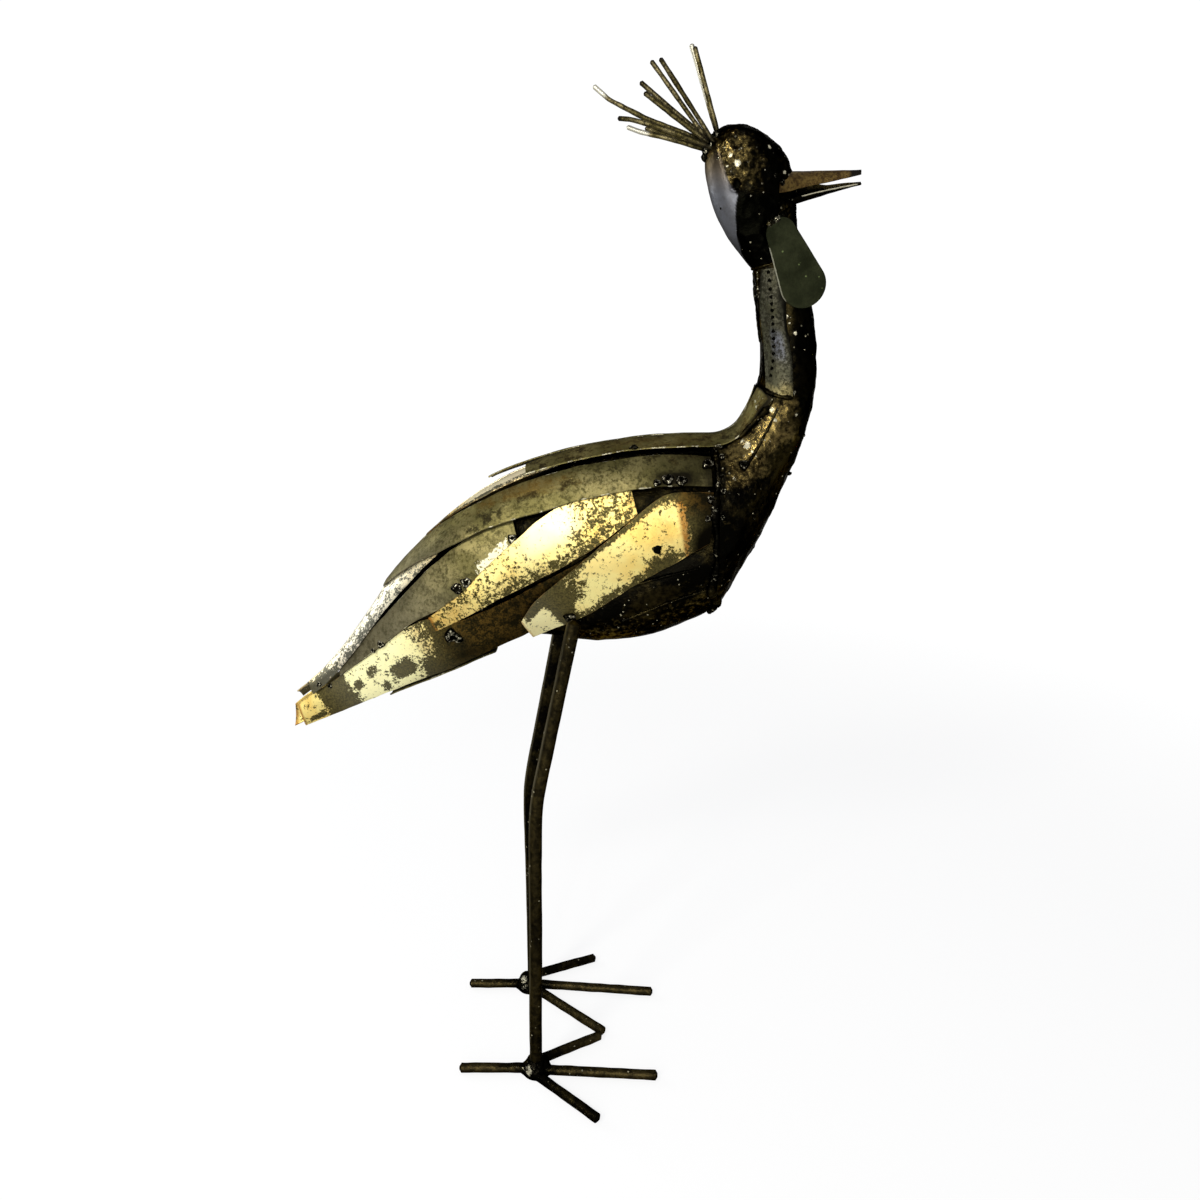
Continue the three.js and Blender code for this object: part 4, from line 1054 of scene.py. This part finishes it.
def seamBead(seam, seed):
    stations, angles = np.array(seam["path"], float).T
    path = evenly(ringPoint(seam["rows"], stations, angles, seam["out"]), 0.7, 12)
    path = path + seam["wander"] * cloud(path, 13, seed)[:, None] * [1, 0, 0.3]
    x, z = through(seam["rows"], stations.mean())[:4].reshape(2, 2).mean(0)
    return weldBead(path, seam["radius"], seed, seam["shine"], seam["lumpy"], np.array([x, bodyMiddle, z]))


for number, (name, seam) in enumerate(seams.items()):
    bead = seamBead({**plainSeam, **seam}, 110 + number)
    place(name + "Bead", bead if name == "crown" else bothSides(bead))
run = np.linspace(*neckEdge["run"], 40)
path = onStrip(feathers["back"]["cuts"], run, neckEdge["across"], neckEdge["out"])
path = evenly(path + 0.4 * cloud(path, 6, 125)[:, None], 0.8)
place("neckEdgeBead", bothSides(weldBead(path, neckEdge["radius"], 126, 0.15, 0.7)))

# feather, then place along and across, radius and height, for one also the dip and the shine
spotWelds = [
    ("upper_wing", [(0.87, 0.82, 4.2, 2.2), (0.9, 0.86, 4, 2.2), (0.845, 0.9, 2.8, 1.6),
                    (0.98, 0.3, 4.2, 2.6)]),
    ("back", [(0.27, 0.9, 3, 1.5)]),
    ("rear_wing", [(0.65, 0.73, 4.2, 2), (0.71, 0.72, 4.2, 2.2), (0.97, 0.8, 3.6, 2.2),
                   (0.21, 0.93, 3, 1.7)]),
    ("lower_wing", [(0.56, 0.33, 5.8, 3), (0.575, 0.42, 3.4, 2.2)]), ("rear_wing", [(0.17, 0.95, 2, 1.2)]),
    ("front_wing", [(0.63, 0.65, 3.2, 1, 0.5, 0.1), (0.24, 0.86, 4.8, 3), (0.97, 0.12, 3, 2),
                    (0.95, 0.5, 2.2, 1.4)]),
    ("tail", [(0.07, 0.8, 2.2, 1.2)]), ("lower_wing", [(0.2, 0.08, 2, 1)]),
]
# station, angle, radius and height of lumps on the head, then on the breast and neck
lumps = [(5, 12, 1, 0.5), (4.95, 41, 1.1, 0.5), (2.98, 28, 0.8, 0.4), (5.7, 18, 3.2, 2.2),
         (6.2, 8, 3.4, 2.4), (6.5, 22, 2.8, 1.8), (5.9, 2, 3, 2.2), (6.7, 3, 2.6, 1.8),
         (5.45, 8, 3.4, 3.2), (5.1, 2, 3, 2.8), (3.9, 128, 2.4, 1.4), (4.2, 118, 1.6, 1)]
breastLumps = [(10.2, 55, 3.6, 1.6), (13.2, 147, 1.6, 1.6), (12.45, 172, 1.7, 1.8), (9.05, 22, 3.4, 2.4),
               (9.1, 34, 2.4, 2), (9.05, 48, 2, 1.8), (9.1, 60, 2.2, 1.8), (9.05, 76, 2, 1.6)]
stitch = {"stations": (16.7, 13.4), "angles": (60, 46), "count": 15, "radius": 1.2, "height": 0.7}


def dotPairs(rows, seed, lift):
    # weld dots on both sides; a row is a surface, two numbers on it, radius, height, dip and shine
    dots = []
    for number, (surface, guide, first, second, *values) in enumerate(rows):
        centre, above = (surface(guide, first, second, out) for out in (lift, lift + 1))
        dot = weldDot(centre, above, seed + number, *values)
        dots += [dot, flipped(dot)]
    return dots


rows = [(onStrip, feathers[name]["cuts"], *row) for name, group in spotWelds for row in group]
place("spotWelds", joined(dotPairs(rows, 130, 0)))
rows = [(ringPoint, headRows, *row, 0.15, 0.5) for row in lumps]
rows += [(ringPoint, bodyRows, *row, 0.8, 0.5) for row in breastLumps]
run = zip(*(np.linspace(*stitch[key], stitch["count"]) for key in ("stations", "angles")))
stitches = [(ringPoint, bodyRows, *spot, stitch["radius"], stitch["height"], 0.1, 0.05) for spot in run]
place("headAndNeckLumps", joined(dotPairs(rows, 150, 0.4) + dotPairs(stitches, 170, 1.9)))
